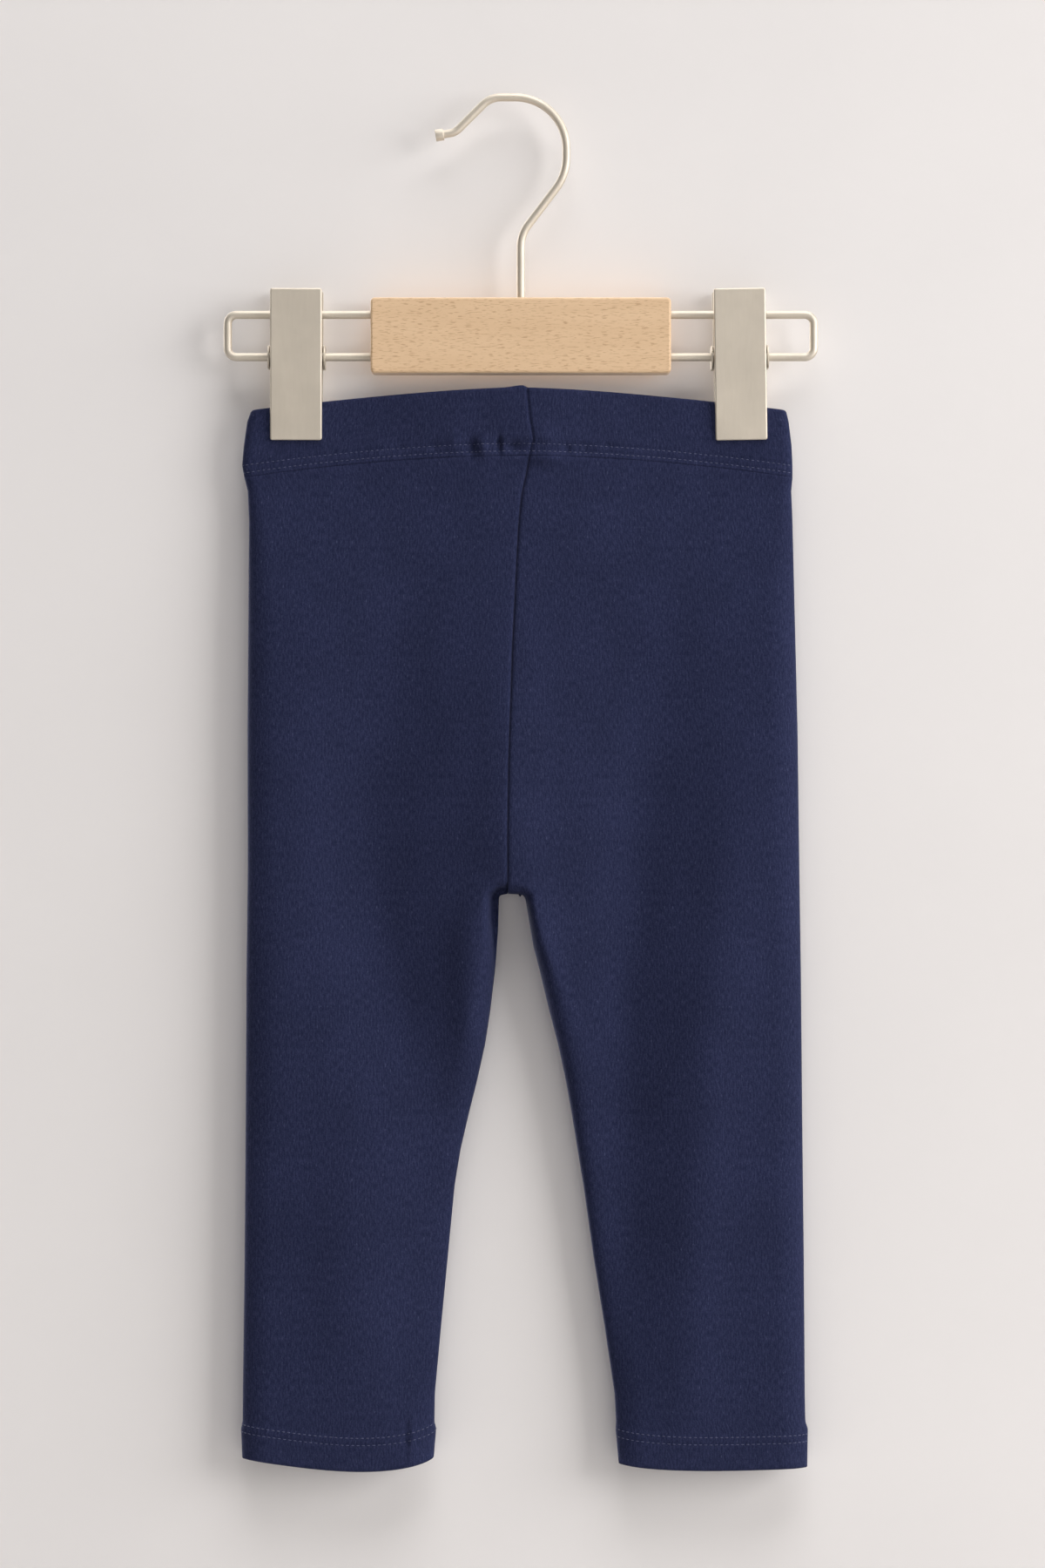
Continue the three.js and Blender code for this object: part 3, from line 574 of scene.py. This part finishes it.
PUCKERS = {
    "back": {
        "x": [-33.5, -26, -19.2, -14.5, -8.6, -3, 9.5, 18, 25, 10.5, 34, -47],
        "drop": [23, 21, 23.4, 23.6, 22.4, 22.8, 19.8, 24, 24.6, 27.6, 23, 24],
        "wide": [1.8, 2.4, 1.9, 2.2, 1.2, 3.4, 5.0, 1.6, 3.6, 6.5, 2.5, 2.2],
        "high": [2.4, 4.0, 3.4, 3.6, 3.2, 2.2, 4.0, 2.0, 1.8, 2.5, 2.2, 2.4],
        "depth": [0.5, -0.6, 2.1, -1.5, 2.2, 1.7, -1.2, 0.8, 0.8, -2.0, 0.4, 0.45],
    },
    "front": {
        "x": [-40, -22, -14, -6, 5, 15, 33],
        "drop": [34, 34.5, 34, 34.5, 34, 34.5, 34],
        "wide": [2.2, 1.6, 2.4, 1.4, 2.0, 3.0, 2.2],
        "high": [2.4, 2.6, 3.4, 2.4, 3.0, 3.6, 2.4],
        "depth": [0.3, 0.9, -0.6, 1.0, 0.7, -0.6, 0.4],
    },
}


def read(table, column, drop):
    return np.interp(drop, table["drop"], table[column])


def smooth_between(value, low, high):
    share = np.clip((value - low) / (high - low), 0, 1)
    return share * share * (3 - 2 * share)


def bell(distance, width):
    return np.exp(-((distance / width) ** 2))


def edge_round(distance, reach):
    """A quarter-ellipse profile: 0 at an edge, 1 from the given reach inwards."""
    left = 1 - np.clip(distance / reach, 0, 1)
    return np.sqrt(np.maximum(0, 1 - left**2))


def band_top(layer, x):
    share = np.minimum(1, np.abs(x) / HALF_WAIST)
    if layer == "front":
        return SIDE_DROP + FRONT_SAG * (1 - share**2)
    ruck = RUCK["rise"] * bell(np.minimum(x - RUCK["x"], 0), RUCK["left"])
    ruck = ruck * (1 - smooth_between(x, RUCK["x"], RUCK["x"] + RUCK["right"]))
    return SIDE_DROP * share**TOP_CURVE - ruck


def band_bottom(layer, x):
    share = np.minimum(1, np.abs(x) / HALF_WAIST)
    at_side = SIDE_DROP + BAND_HEIGHT
    if layer == "front":
        return at_side + FRONT_SAG * (1 - share**2)
    return BAND_HEIGHT + (at_side - BAND_HEIGHT) * share**BOTTOM_CURVE


def band_half_depth(x, rise):
    slack = np.cos(np.pi / 2 * np.minimum(1, np.abs(x) / SLACK_HALF_SPAN)) ** 2
    return BAND_CLIPPED_HALF + slack * (SLACK_AT_BOTTOM + (SLACK_AT_TOP - SLACK_AT_BOTTOM) * rise)


def sewn_relief(layer, x, drop):
    """How far the sewing draws the face in: the centre seam's ditch, the stitch rows and their puckers."""
    ditch = SEAM_DITCH["depth"] * bell(x - read(CENTRE_SEAM, "x", drop), SEAM_DITCH["width"])
    from_row = drop - band_bottom(layer, x)
    rows = sum(STITCH_PRESS["depth"] * bell(from_row - place, STITCH_PRESS["width"]) for place in STITCH_ROWS)
    drawn = sum(
        depth * bell(x - at_x, wide) * bell(drop - at_drop, high)
        for at_x, at_drop, wide, high, depth in zip(*PUCKERS[layer].values())
    )
    return ditch + rows + drawn


BAND_HALF_COLUMNS = 400
BAND_RISES = 34
FOLD_RADIUS = BAND_WALL / 2
FOLD_POINTS = 10
BAND_EDGE_EASE = {"height": 0.35, "outside": 0.25, "inside": 0.4}
CENTRE_SHARE = 0.51
CROWDING = {"even": 0.6, "centre": 1.6, "centre_width": 0.13, "sides": 2.2, "side_width": 0.035}
CROWDING_STEPS = 4000
LEAST_SIDE_ROUND = 1.2
INNER_RELIEF = -0.2


def band_profile():
    """The casing's cross-section as (height above the lower edge, inset from the outer face)."""
    top = BAND_HEIGHT - FOLD_RADIUS
    heights = np.linspace(BAND_EDGE_EASE["height"], top, BAND_RISES)
    bend = np.linspace(0, np.pi, FOLD_POINTS)[1:-1]
    outer = [(0.0, BAND_EDGE_EASE["outside"])] + [(h, 0.0) for h in heights]
    fold = [(top + FOLD_RADIUS * math.sin(a), FOLD_RADIUS * (1 - math.cos(a))) for a in bend]
    inner = [(h, BAND_WALL) for h in heights[::-2]] + [(0.0, BAND_WALL - BAND_EDGE_EASE["inside"])]
    return outer + fold + inner


def band_columns():
    """Shares across the band, close together at the centre seam and at both side folds."""
    fine = np.linspace(0, 1, CROWDING_STEPS + 1)
    at_sides = bell(fine, CROWDING["side_width"]) + bell(fine - 1, CROWDING["side_width"])
    at_centre = bell(fine - CENTRE_SHARE, CROWDING["centre_width"])
    crowd = CROWDING["even"] + CROWDING["centre"] * at_centre + CROWDING["sides"] * at_sides
    count = np.concatenate([[0], np.cumsum((crowd[1:] + crowd[:-1]) / 2)])
    return np.interp(np.linspace(0, count[-1], BAND_HALF_COLUMNS + 1), count, fine)


def band_point(layer, share, height, inset):
    """Places on the casing, in millimetres, at shares across it from the left side fold to the right one."""
    guess = HALF_WAIST * (2 * share - 1)
    rise = height / BAND_HEIGHT
    drop = band_bottom(layer, guess) + (band_top(layer, guess) - band_bottom(layer, guess)) * rise
    left = read(SIDE_FOLDS, "left", drop) + inset
    right = read(SIDE_FOLDS, "right", drop) - inset
    x = left + (right - left) * share
    side_round = np.maximum(LEAST_SIDE_ROUND, BAND_EDGE_ROUND - inset)
    rolled = edge_round(np.minimum(x - left, right - x), side_round)
    relief = sewn_relief(layer, x, drop) * np.where(inset < FOLD_RADIUS, 1, INNER_RELIEF)
    half = band_half_depth(x, rise) - inset - relief
    return np.stack([x, (-1 if layer == "back" else 1) * half * rolled, WAIST_Z - drop], axis=-1)


JERSEY_DARK = (0.0107, 0.0144, 0.0408)
JERSEY_NAVY = (0.0173, 0.0217, 0.0566)
JERSEY_LIGHT = (0.0265, 0.0314, 0.0755)
FIBRE_COLOUR = (0.10, 0.115, 0.21, 1)


def knit_jersey():
    """Navy jersey: fine upright wales, a heathered ground, stray fibres and a soft velvety sheen."""
    material, shader, add = new_material("navy jersey")
    tree = material.node_tree
    uv = add("ShaderNodeUVMap", {"uv_map": "knit"}).outputs["UV"]

    def noise(across, along, detail):
        stretched = add("ShaderNodeMapping", Vector=uv, Scale=(across, along, 1)).outputs["Vector"]
        settings = {"noise_dimensions": "2D"}
        return add("ShaderNodeTexNoise", settings, Vector=stretched, Scale=1.0, Detail=detail)

    wales = noise(1500, 420, 1.0).outputs["Fac"]
    stitches = noise(1900, 1600, 2.0).outputs["Fac"]
    heather = noise(60, 35, 5.0).outputs["Fac"]
    fuzz = noise(1500, 520, 0.0).outputs["Fac"]
    grain = add("ShaderNodeMix", Factor=0.45, A=wales, B=stitches).outputs[0]
    ground = colour_ramp(add, grain, (0.30, JERSEY_DARK), (0.5, JERSEY_NAVY), (0.70, JERSEY_LIGHT))
    wash = colour_ramp(add, heather, (0.3, (0.93, 0.92, 0.93)), (0.7, (1.07, 1.05, 1.06)))
    toned = mix_colours(add, 1.0, ground, wash, "MULTIPLY")
    specks = colour_ramp(add, fuzz, (0.83, (0, 0, 0)), (0.89, (1, 1, 1)))
    speck_amount = add("ShaderNodeMath", {"operation": "MULTIPLY"}, i0=specks, i1=0.22).outputs[0]
    tree.links.new(mix_colours(add, speck_amount, toned, FIBRE_COLOUR), shader.inputs["Base Color"])
    shader.inputs["Roughness"].default_value = 0.92
    shader.inputs["Specular IOR Level"].default_value = 0.08
    shader.inputs["Sheen Weight"].default_value = 0.06
    shader.inputs["Sheen Roughness"].default_value = 0.45
    shader.inputs["Sheen Tint"].default_value = (0.42, 0.46, 0.8, 1)
    bump = add("ShaderNodeBump", Height=grain, Strength=0.5, Distance=0.00022)
    tree.links.new(bump.outputs["Normal"], shader.inputs["Normal"])
    return material


def lay_knit(piece, uv_of_vertex):
    """Sets the knit map, in metres across and along the cloth, from one value for each vertex."""
    while piece.data.uv_layers:
        piece.data.uv_layers.remove(piece.data.uv_layers[0])
    layer = piece.data.uv_layers.new(name="knit")
    corners = np.empty(len(piece.data.loops), dtype=np.int32)
    piece.data.loops.foreach_get("vertex_index", corners)
    layer.data.foreach_set("uv", np.asarray(uv_of_vertex, dtype=np.float32)[corners].ravel())


def add_grid(name, across, along):
    """A flat grid to be shaped into cloth, with each vertex's column and line in it."""
    deselect_all()
    bpy.ops.mesh.primitive_grid_add(x_subdivisions=across, y_subdivisions=along, size=2)
    piece = bpy.context.object
    piece.name = name
    flat = np.empty(3 * len(piece.data.vertices), dtype=np.float32)
    piece.data.vertices.foreach_get("co", flat)
    flat = flat.reshape(-1, 3)
    column = np.rint((flat[:, 0] + 1) / 2 * across).astype(int)
    line = np.rint((1 - flat[:, 1]) / 2 * along).astype(int)
    return piece, column, line


def set_points(piece, points):
    piece.data.vertices.foreach_set("co", np.asarray(points, dtype=np.float32).ravel())
    piece.data.update()


def face_outwards(piece):
    """Closes the seams of a wrapped grid and turns its faces out."""
    deselect_all()
    piece.select_set(True)
    bpy.context.view_layer.objects.active = piece
    bpy.ops.object.mode_set(mode="EDIT")
    bpy.ops.mesh.select_all(action="SELECT")
    bpy.ops.mesh.remove_doubles(threshold=SAME_PLACE)
    bpy.ops.mesh.normals_make_consistent(inside=False)
    bpy.ops.object.mode_set(mode="OBJECT")
    bpy.ops.object.shade_smooth()


jersey = knit_jersey()
profile = np.array(band_profile())
shares = band_columns()
waistband, column, line = add_grid("waistband_casing", 2 * BAND_HALF_COLUMNS, len(profile))
on_back = column <= BAND_HALF_COLUMNS
share = shares[np.where(on_back, column, 2 * BAND_HALF_COLUMNS - column)]
height, inset = profile[line % len(profile)].T
points = np.where(on_back[:, None], band_point("back", share, height, inset),
                  band_point("front", share, height, inset))
set_points(waistband, points * MM)
around = np.where(on_back, share, 2 - share)
lay_knit(waistband, np.column_stack([2 * HALF_WAIST * around, height]) * MM)
face_outwards(waistband)
place_piece(waistband, jersey, "jersey", "waistband")


# Each leg is one panel of jersey. It wraps from the centre back seam round the side fold to the centre front
# seam, is closed by the inseam below the crotch, and ends in a hem turned up inside.
CROTCH_DROP = 197.5
SEAM_GAP = 0.02
EDGE_ROUND = 11
CROTCH_ROLL = {"drop": 203, "reach": 32, "tighter": 7.5}
PEEL = {"from": 188, "by": 198, "reach": 16, "depth": 2.6}
HEM_DEPTH = 13.6
HEM_PROUD = 0.4
HEM_STEP = {"above": 1.2, "over": 1.6}
HEM_PRESS = 0.2
HEM_EDGE = {"reach": 1.1, "depth": 0.9}
JERSEY_WALL = 0.9
UNDER_BAND = 0.12
TUCKED_STEP = {"depth": 0.8, "by": 0.6}
OPENS = {"from": 27, "by": 92}
FOLDS_START = {"from": 26, "by": 60}
SAG = {"from": 0.72, "by": 0.93, "skew": 0.68}
HEM_OUTER_DROP = {"left": 417.2, "right": 420.7}
HEM_SAG = {"left": 5.3, "right": 2.0}
HALF_DEPTHS = {"drop": [60, 95, 140, 230, 320, 392, 425], "half": [6.6, 7.6, 8.3, 8.4, 8.0, 7.5, 7.2]}
INSEAMS = {
    "left": {
        "drop": [197.3, 197.8, 198.6, 212, 226, 243, 256, 270, 284, 297, 311, 338, 365, 392, 403, 406, 416.5],
        "x": [-5.2, -8.0, -8.5, -8.9, -9.9, -11.9, -13.9, -17.0, -20.5, -23.5, -25.8, -28.4, -31.0, -33.5,
              -33.7, -33.0, -33.9],
    },
    "right": {
        "drop": [197.3, 197.5, 199.0, 205, 217, 228, 243, 256, 270, 284, 297, 311, 338, 365, 392, 403, 406,
                 419],
        "x": [-5.0, 0.7, 1.8, 2.8, 4.8, 7.6, 11.2, 14.6, 17.6, 20.1, 22.2, 24.5, 28.3, 32.6, 36.6, 37.2, 37.0,
              38.2],
    },
}
# A fold has its layer and name, the x and the drops of its start, middle and end, its half width, its depth,
# which is negative for a crest, and the share of its way at which it is deepest.
FOLDS = [
    ("back", "left seat hollow", (-38, -61, -20), (42, 183, 294), 17, 6.3, 0.6),
    ("back", "left inner hollow", (-28, -44, -30), (68, 146, 272), 14, 1.8, 0.6),
    ("back", "seat swell", (-1, -5, 3), (64, 155, 234), 16, -4, 0.6),
    ("back", "left thigh crest", (-12, -20, -18), (192, 222, 268), 8, -3.2, 0.5),
    ("back", "left side dip", (-99, -103, -101), (57, 230, 409), 8, 1.1, 0.5),
    ("back", "left shin crest", (-70, -66, -61), (261, 348, 418), 14, -2, 0.5),
    ("back", "left shin hollow", (-33, -32, -40), (264, 343, 422), 16, 4.3, 0.5),
    ("back", "right seat fall", (51, 54, 59), (68, 133, 212), 23, 1.7, 0.5),
    ("back", "right leg trough", (56, 40, 40), (107, 253, 435), 14, 5, 0.5),
    ("back", "right thigh crest", (88, 72, 64), (129, 273, 424), 13, -3.6, 0.5),
    ("back", "right inseam crest", (3, 12, 27), (191, 252, 406), 7, -2.6, 0.5),
    ("back", "right outer swell", (95, 90, 92), (92, 232, 404), 10, -0.7, 0.5),
    ("back", "right yoke crease", (10, 58, 103), (46, 42, 35), 4.5, 0.8, 0.4),
    ("back", "shelf under the ruck", (1.5, 14.3, 25), (34.2, 32.3, 27), 1.6, 1.8, 0.4),
    ("back", "left yoke crease", (-100, -62, -30), (40, 37, 33), 4, 0.5, 0.4),
    ("back", "hem seam ridge", (-42.2, -42.3, -42.5), (396, 409, 421), 1.3, -0.5, 0.5),
    ("back", "hem seam dip", (-44.4, -44.5, -44.7), (400, 408, 416), 1.0, 0.7, 0.5),
    ("front", "left lap trough", (-62, -44, -22), (60, 150, 262), 12, 3, 0.6),
    ("front", "right lap trough", (68, 44, 24), (74, 170, 270), 11, 2.6, 0.6),
    ("front", "belly swell", (0, -2, -4), (66, 112, 176), 26, -2.2, 0.5),
    ("front", "left shin trough", (-76, -70, -72), (236, 330, 410), 9, 2, 0.5),
    ("front", "right shin trough", (84, 76, 78), (216, 310, 408), 9, 2.1, 0.5),
]
FOLD_STEPS = 12


def nearest_on_chain(x, drop, chain):
    """How far each place is from a chain of points, and the share of its steps where it comes nearest."""
    best = np.full(np.shape(x), np.inf)
    along = np.zeros(np.shape(x))
    for i in range(len(chain) - 1):
        (ax, ad), (bx, bd) = chain[i], chain[i + 1]
        dx, dd = bx - ax, bd - ad
        share = np.clip(((x - ax) * dx + (drop - ad) * dd) / (dx * dx + dd * dd), 0, 1)
        gap = np.hypot(x - ax - share * dx, drop - ad - share * dd)
        nearer = gap < best
        best = np.where(nearer, gap, best)
        along = np.where(nearer, (i + share) / (len(chain) - 1), along)
    return best, along


def fold_chain(xs, drops):
    """A curve through three points, as a chain of points."""
    t = np.linspace(0, 1, FOLD_STEPS + 1)
    columns = []
    for a, b, c in (xs, drops):
        pull = 2 * b - (a + c) / 2
        columns.append((1 - t) ** 2 * a + 2 * t * (1 - t) * pull + t**2 * c)
    return np.column_stack(columns)


def fold_depth(layer, x, drop):
    pushed = 0
    for on_layer, _, xs, drops, width, depth, peak in FOLDS:
        if on_layer != layer:
            continue
        gap, along = nearest_on_chain(x, drop, fold_chain(xs, drops))
        fade = np.sin(np.pi * along ** (math.log(0.5) / math.log(peak)))
        pushed = pushed + depth * fade * bell(gap, width)
    return pushed


def spaced_curve(table, count):
    """A table's curve as points at even distances, and its length."""
    xs, drops = np.array(table["x"], float), np.array(table["drop"], float)
    far = np.concatenate([[0], np.cumsum(np.hypot(np.diff(xs), np.diff(drops)))])
    even = np.linspace(0, far[-1], count)
    return np.column_stack([np.interp(even, far, xs), np.interp(even, far, drops)]), far[-1]


CURVE_POINTS = 600
CURVE_SKIP = 6
SOFTEN = 5


def inseam_curve(side):
    points, length = spaced_curve(INSEAMS[side], CURVE_POINTS)
    weights = np.hanning(SOFTEN + 2)[1:-1]
    weights /= weights.sum()
    reach = SOFTEN // 2
    for column in (0, 1):
        softened = np.convolve(points[:, column], weights, mode="valid")
        points[reach:-reach, column] = softened
    return points, length


TUCK = 1.4
ABOVE_CROTCH = CROTCH_DROP - BAND_HEIGHT + TUCK
HEM_ROWS = (13.4, 10.5)


def leg_face(side, layer, share, row):
    """Places on a leg's outer face. share is 0 at the seam and 1 at the side fold, and row is the distance
    below the crotch along the inseam, or above it along the centre seam where it is negative."""
    sign = -1 if side == "left" else 1
    curve, length = inseam_curve(side)
    way = np.clip(row / length, 0, 1)
    on_x = np.interp(way, np.linspace(0, 1, CURVE_POINTS), curve[:, 0])
    on_drop = np.interp(way, np.linspace(0, 1, CURVE_POINTS), curve[:, 1])
    down = np.clip(1 + row / ABOVE_CROTCH, 0, 1)
    top_seam = band_bottom(layer, 0.0) - TUCK
    seam_drop = top_seam + (CROTCH_DROP - top_seam) * down
    seam_x = read(CENTRE_SEAM, "x", seam_drop) + sign * SEAM_GAP / 2
    top = band_bottom(layer, sign * HALF_WAIST * share) - TUCK
    drop_above = top + (CROTCH_DROP - top) * down
    fold_above = read(SIDE_FOLDS, side, drop_above)
    outer_drop = CROTCH_DROP + (HEM_OUTER_DROP[side] - CROTCH_DROP) * way
    hangs = smooth_between(way, SAG["from"], SAG["by"]) * HEM_SAG[side] * np.sin(np.pi * share**SAG["skew"])
    fold_below = read(SIDE_FOLDS, side, outer_drop)
    above = row < 0
    x = np.where(above, seam_x + (fold_above - seam_x) * share, on_x + (fold_below - on_x) * share)
    drop = np.where(above, drop_above, on_drop + (outer_drop - on_drop) * share + hangs)
    return x, drop


def leg_depth(side, layer, x, drop, row):
    """Half the garment's depth at places on a leg's face."""
    curve, length = inseam_curve(side)
    to_inseam, _ = nearest_on_chain(x, drop, curve[::CURVE_SKIP])
    to_side = np.abs(read(SIDE_FOLDS, side, drop) - x)
    below_crotch = drop - CROTCH_ROLL["drop"]
    roll = EDGE_ROUND - CROTCH_ROLL["tighter"] * bell(below_crotch, CROTCH_ROLL["reach"])
    peel = 0.0
    if side == "left" and layer == "back":
        peel = PEEL["depth"] * bell(np.maximum(below_crotch, 0), PEEL["reach"])
        peel = peel * smooth_between(drop, PEEL["from"], PEEL["by"])
    opened = smooth_between(drop, OPENS["from"], OPENS["by"])
    reach = BAND_EDGE_ROUND + (EDGE_ROUND - BAND_EDGE_ROUND) * opened
    rolled = edge_round(np.maximum(0, to_inseam - peel), roll) * edge_round(to_side, reach)
    under_band = band_half_depth(x, 0) - UNDER_BAND
    free = read(HALF_DEPTHS, "half", drop)
    folded = fold_depth(layer, x, drop) * smooth_between(drop, FOLDS_START["from"], FOLDS_START["by"])
    half = under_band + (free - under_band) * opened - folded
    half -= sewn_relief(layer, x, drop)
    clear_of_band = smooth_between(drop - band_bottom(layer, x), -TUCK, TUCKED_STEP["by"])
    half -= TUCKED_STEP["depth"] * (1 - clear_of_band)
    from_end = length - row
    half += HEM_PROUD * smooth_between(HEM_DEPTH + HEM_STEP["above"] - from_end, 0, HEM_STEP["over"])
    for hem_row in HEM_ROWS:
        half -= HEM_PRESS * bell(from_end - hem_row, STITCH_PRESS["width"])
    half -= HEM_EDGE["depth"] * (1 - edge_round(from_end, HEM_EDGE["reach"]))
    return SEAM_GAP / 2 + np.maximum(0, half - SEAM_GAP / 2) * rolled


COLUMN_STEPS = 74
EDGE_CROWDING = 0.65
ROW_STEP = 1.7
FINE_STEP = 0.6
TOP_STEP = 1.4 * FINE_STEP
FINE_TOP = 14
FINE_HEM = 18
CROTCH_ROWS = {"above": 8, "rows_above": 8, "below": 12, "rows_below": 15}


def leg_rows(length):
    """The rows of the grid, close together at the waist seam, the crotch and the hem and wider between."""
    top_end = -ABOVE_CROTCH + FINE_TOP
    crotch_start, crotch_end = -CROTCH_ROWS["above"], CROTCH_ROWS["below"]
    hem_start = length - FINE_HEM
    return np.concatenate([
        np.arange(-ABOVE_CROTCH, top_end, TOP_STEP),
        np.linspace(top_end, crotch_start, round((crotch_start - top_end) / ROW_STEP)),
        np.linspace(crotch_start, 0, CROTCH_ROWS["rows_above"] + 1)[1:],
        np.linspace(0, crotch_end, CROTCH_ROWS["rows_below"] + 1)[1:],
        np.linspace(crotch_end, hem_start, round((hem_start - crotch_end) / ROW_STEP))[1:],
        np.linspace(hem_start, length, round(FINE_HEM / FINE_STEP))[1:],
    ])


def leg_shares():
    """Shares across a leg, closer together at the seam and at the side fold."""
    even = np.linspace(0, 1, COLUMN_STEPS + 1)
    rolled = (1 - np.cos(np.pi * even)) / 2
    return (1 - EDGE_CROWDING) * even + EDGE_CROWDING * rolled


def make_leg(side):
    _, length = inseam_curve(side)
    rows = leg_rows(length)
    shares = leg_shares()
    leg, column, line = add_grid(f"leg_{side}_panel", 2 * COLUMN_STEPS, len(rows) - 1)
    on_back = column <= COLUMN_STEPS
    share = shares[np.where(on_back, column, 2 * COLUMN_STEPS - column)]
    row = rows[line]
    points = np.zeros((len(column), 3))
    for layer, chosen in (("back", on_back), ("front", ~on_back)):
        x, drop = leg_face(side, layer, share[chosen], row[chosen])
        half = leg_depth(side, layer, x, drop, row[chosen])
        y = -half if layer == "back" else half
        y = np.where(column[chosen] == COLUMN_STEPS, 0, y)
        points[chosen] = np.column_stack([x, y, WAIST_Z - drop])
    set_points(leg, points * MM)
    grid = np.zeros((len(rows), 2 * COLUMN_STEPS + 1, 3))
    grid[line, column] = points
    step = np.linalg.norm(np.diff(grid, axis=1), axis=2)
    across = np.concatenate([np.zeros((len(rows), 1)), np.cumsum(step, axis=1)], axis=1)
    across -= across[:, COLUMN_STEPS][:, None]
    lay_knit(leg, np.column_stack([across[line, column], points[:, 2]]) * MM)
    face_outwards(leg)
    lowest = min(leg.data.polygons, key=lambda face: face.center.y)
    if lowest.normal.y > 0:
        leg.data.flip_normals()
    group = leg.vertex_groups.new(name="wall")
    doubled = row > length - HEM_DEPTH
    group.add([int(i) for i in np.flatnonzero(doubled)], 1.0, "REPLACE")
    group.add([int(i) for i in np.flatnonzero(~doubled)], 0.5, "REPLACE")
    apply_modifier(leg, "SOLIDIFY", thickness=2 * JERSEY_WALL * MM, offset=-1, vertex_group="wall",
                   use_rim=True, use_even_offset=False)
    leg.vertex_groups.clear()
    place_piece(leg, jersey, "jersey", f"leg_{side}")


for leg_side in ("left", "right"):
    make_leg(leg_side)


# Twin-needle stitching in a slightly lighter thread: two rows along the casing's lower edge and two round
# each hem. The stitches are short, and each one dips into the cloth at both ends.
STITCH_PITCH = 2.05
STITCH_LENGTH = 1.45
THREAD_HALF = 0.17
STITCH_LIFT = 0.03
STITCH_DIP = 0.12
STITCH_SIDES = 6
STITCH_RINGS = 5
AIM_STEP = 0.5
WAIST_POINTS = 900
HEM_POINTS = 160
MOSTLY_DEPTH = (0.05, 1, 0)


def thread():
    material, shader, add = new_material("sewing thread")
    tree = material.node_tree
    place = add("ShaderNodeTexCoord").outputs["Object"]
    twist = add("ShaderNodeTexNoise", Vector=place, Scale=2600.0, Detail=2.0).outputs["Fac"]
    tint = colour_ramp(add, twist, (0.3, (0.020, 0.025, 0.068)), (0.7, (0.050, 0.060, 0.145)))
    tree.links.new(tint, shader.inputs["Base Color"])
    shader.inputs["Roughness"].default_value = 0.55
    shader.inputs["Sheen Weight"].default_value = 0.15
    return material


def sew(name, points, outwards):
    """Lays one stitch at every pitch along a row of points, each with the way out of the cloth there."""
    deselect_all()
    bpy.ops.mesh.primitive_uv_sphere_add(
        segments=STITCH_SIDES, ring_count=STITCH_RINGS, radius=1, rotation=(0, math.pi / 2, 0))
    row_piece = bpy.context.object
    row_piece.name = name
    bpy.ops.object.transform_apply(location=True, rotation=True, scale=True)
    pattern = row_piece.data
    base = np.array([vertex.co[:] for vertex in pattern.vertices])
    faces = [tuple(face.vertices) for face in pattern.polygons]
    far = np.concatenate([[0], np.cumsum(np.linalg.norm(np.diff(points, axis=0), axis=1))])

    def at(values, way):
        return np.array([np.interp(way, far, values[:, k]) for k in range(3)])

    places, all_faces = [], []
    for count, centre in enumerate(np.arange(STITCH_PITCH / 2, far[-1], STITCH_PITCH)):
        out = at(outwards, centre)
        run = at(points, centre + AIM_STEP) - at(points, centre - AIM_STEP)
        run /= np.linalg.norm(run)
        out -= run * out.dot(run)
        out /= np.linalg.norm(out)
        wide = np.cross(out, run)
        scaled = base * (STITCH_LENGTH / 2, THREAD_HALF, THREAD_HALF)
        lifted = scaled[:, 2] + STITCH_LIFT - STITCH_DIP * base[:, 0] ** 2
        stitch = np.outer(scaled[:, 0], run) + np.outer(scaled[:, 1], wide) + np.outer(lifted, out)
        places.append(at(points, centre) + stitch)
        all_faces += [tuple(v + count * len(base) for v in face) for face in faces]
    row_piece.data = bpy.data.meshes.new(name)
    row_piece.data.from_pydata((np.concatenate(places) * MM).tolist(), [], all_faces)
    face_outwards(row_piece)
    return row_piece


def all_round(face, count):
    """Points and outward directions along a row that goes along the back and then back along the front.
    face(layer, shares, lift) gives places at shares of the way across, lifted along the cloth."""
    shares = np.linspace(0, 1, count)
    here = np.concatenate([face("back", shares, 0.0), face("front", shares[::-1], 0.0)[1:]])
    higher = np.concatenate([face("back", shares, AIM_STEP), face("front", shares[::-1], AIM_STEP)[1:]])
    run = np.gradient(here, axis=0)
    out = np.cross(run, higher - here)
    out /= np.linalg.norm(out, axis=1)[:, None]
    from_middle = here - (here[:, 0].mean(), 0, here[:, 2].mean())
    inward = np.sum(out * from_middle * MOSTLY_DEPTH, axis=1) < 0
    out[inward] *= -1
    return here, out


cotton = thread()
waist_rows = []
for stitch_row, below_edge in enumerate(STITCH_ROWS):
    def waist_face(layer, shares, lift, height=-below_edge):
        return band_point(layer, shares, height + lift, 0.0)

    waist_rows.append(sew(f"waist_stitches_{stitch_row + 1}", *all_round(waist_face, WAIST_POINTS)))
join_pieces(*waist_rows)
place_piece(waist_rows[0], cotton, "jersey")

for leg_side in ("left", "right"):
    hem_length = inseam_curve(leg_side)[1]
    hem_rows = []
    for stitch_row, from_hem in enumerate(HEM_ROWS):
        def hem_face(layer, shares, lift, leg_side=leg_side, row=hem_length - from_hem):
            at_row = np.full(len(shares), row - lift)
            x, drop = leg_face(leg_side, layer, shares, at_row)
            half = leg_depth(leg_side, layer, x, drop, at_row)
            return np.column_stack([x, -half if layer == "back" else half, WAIST_Z - drop])

        hem_rows.append(sew(f"hem_stitches_{leg_side}_{stitch_row + 1}", *all_round(hem_face, HEM_POINTS)))
    join_pieces(*hem_rows)
    place_piece(hem_rows[0], cotton, "jersey")
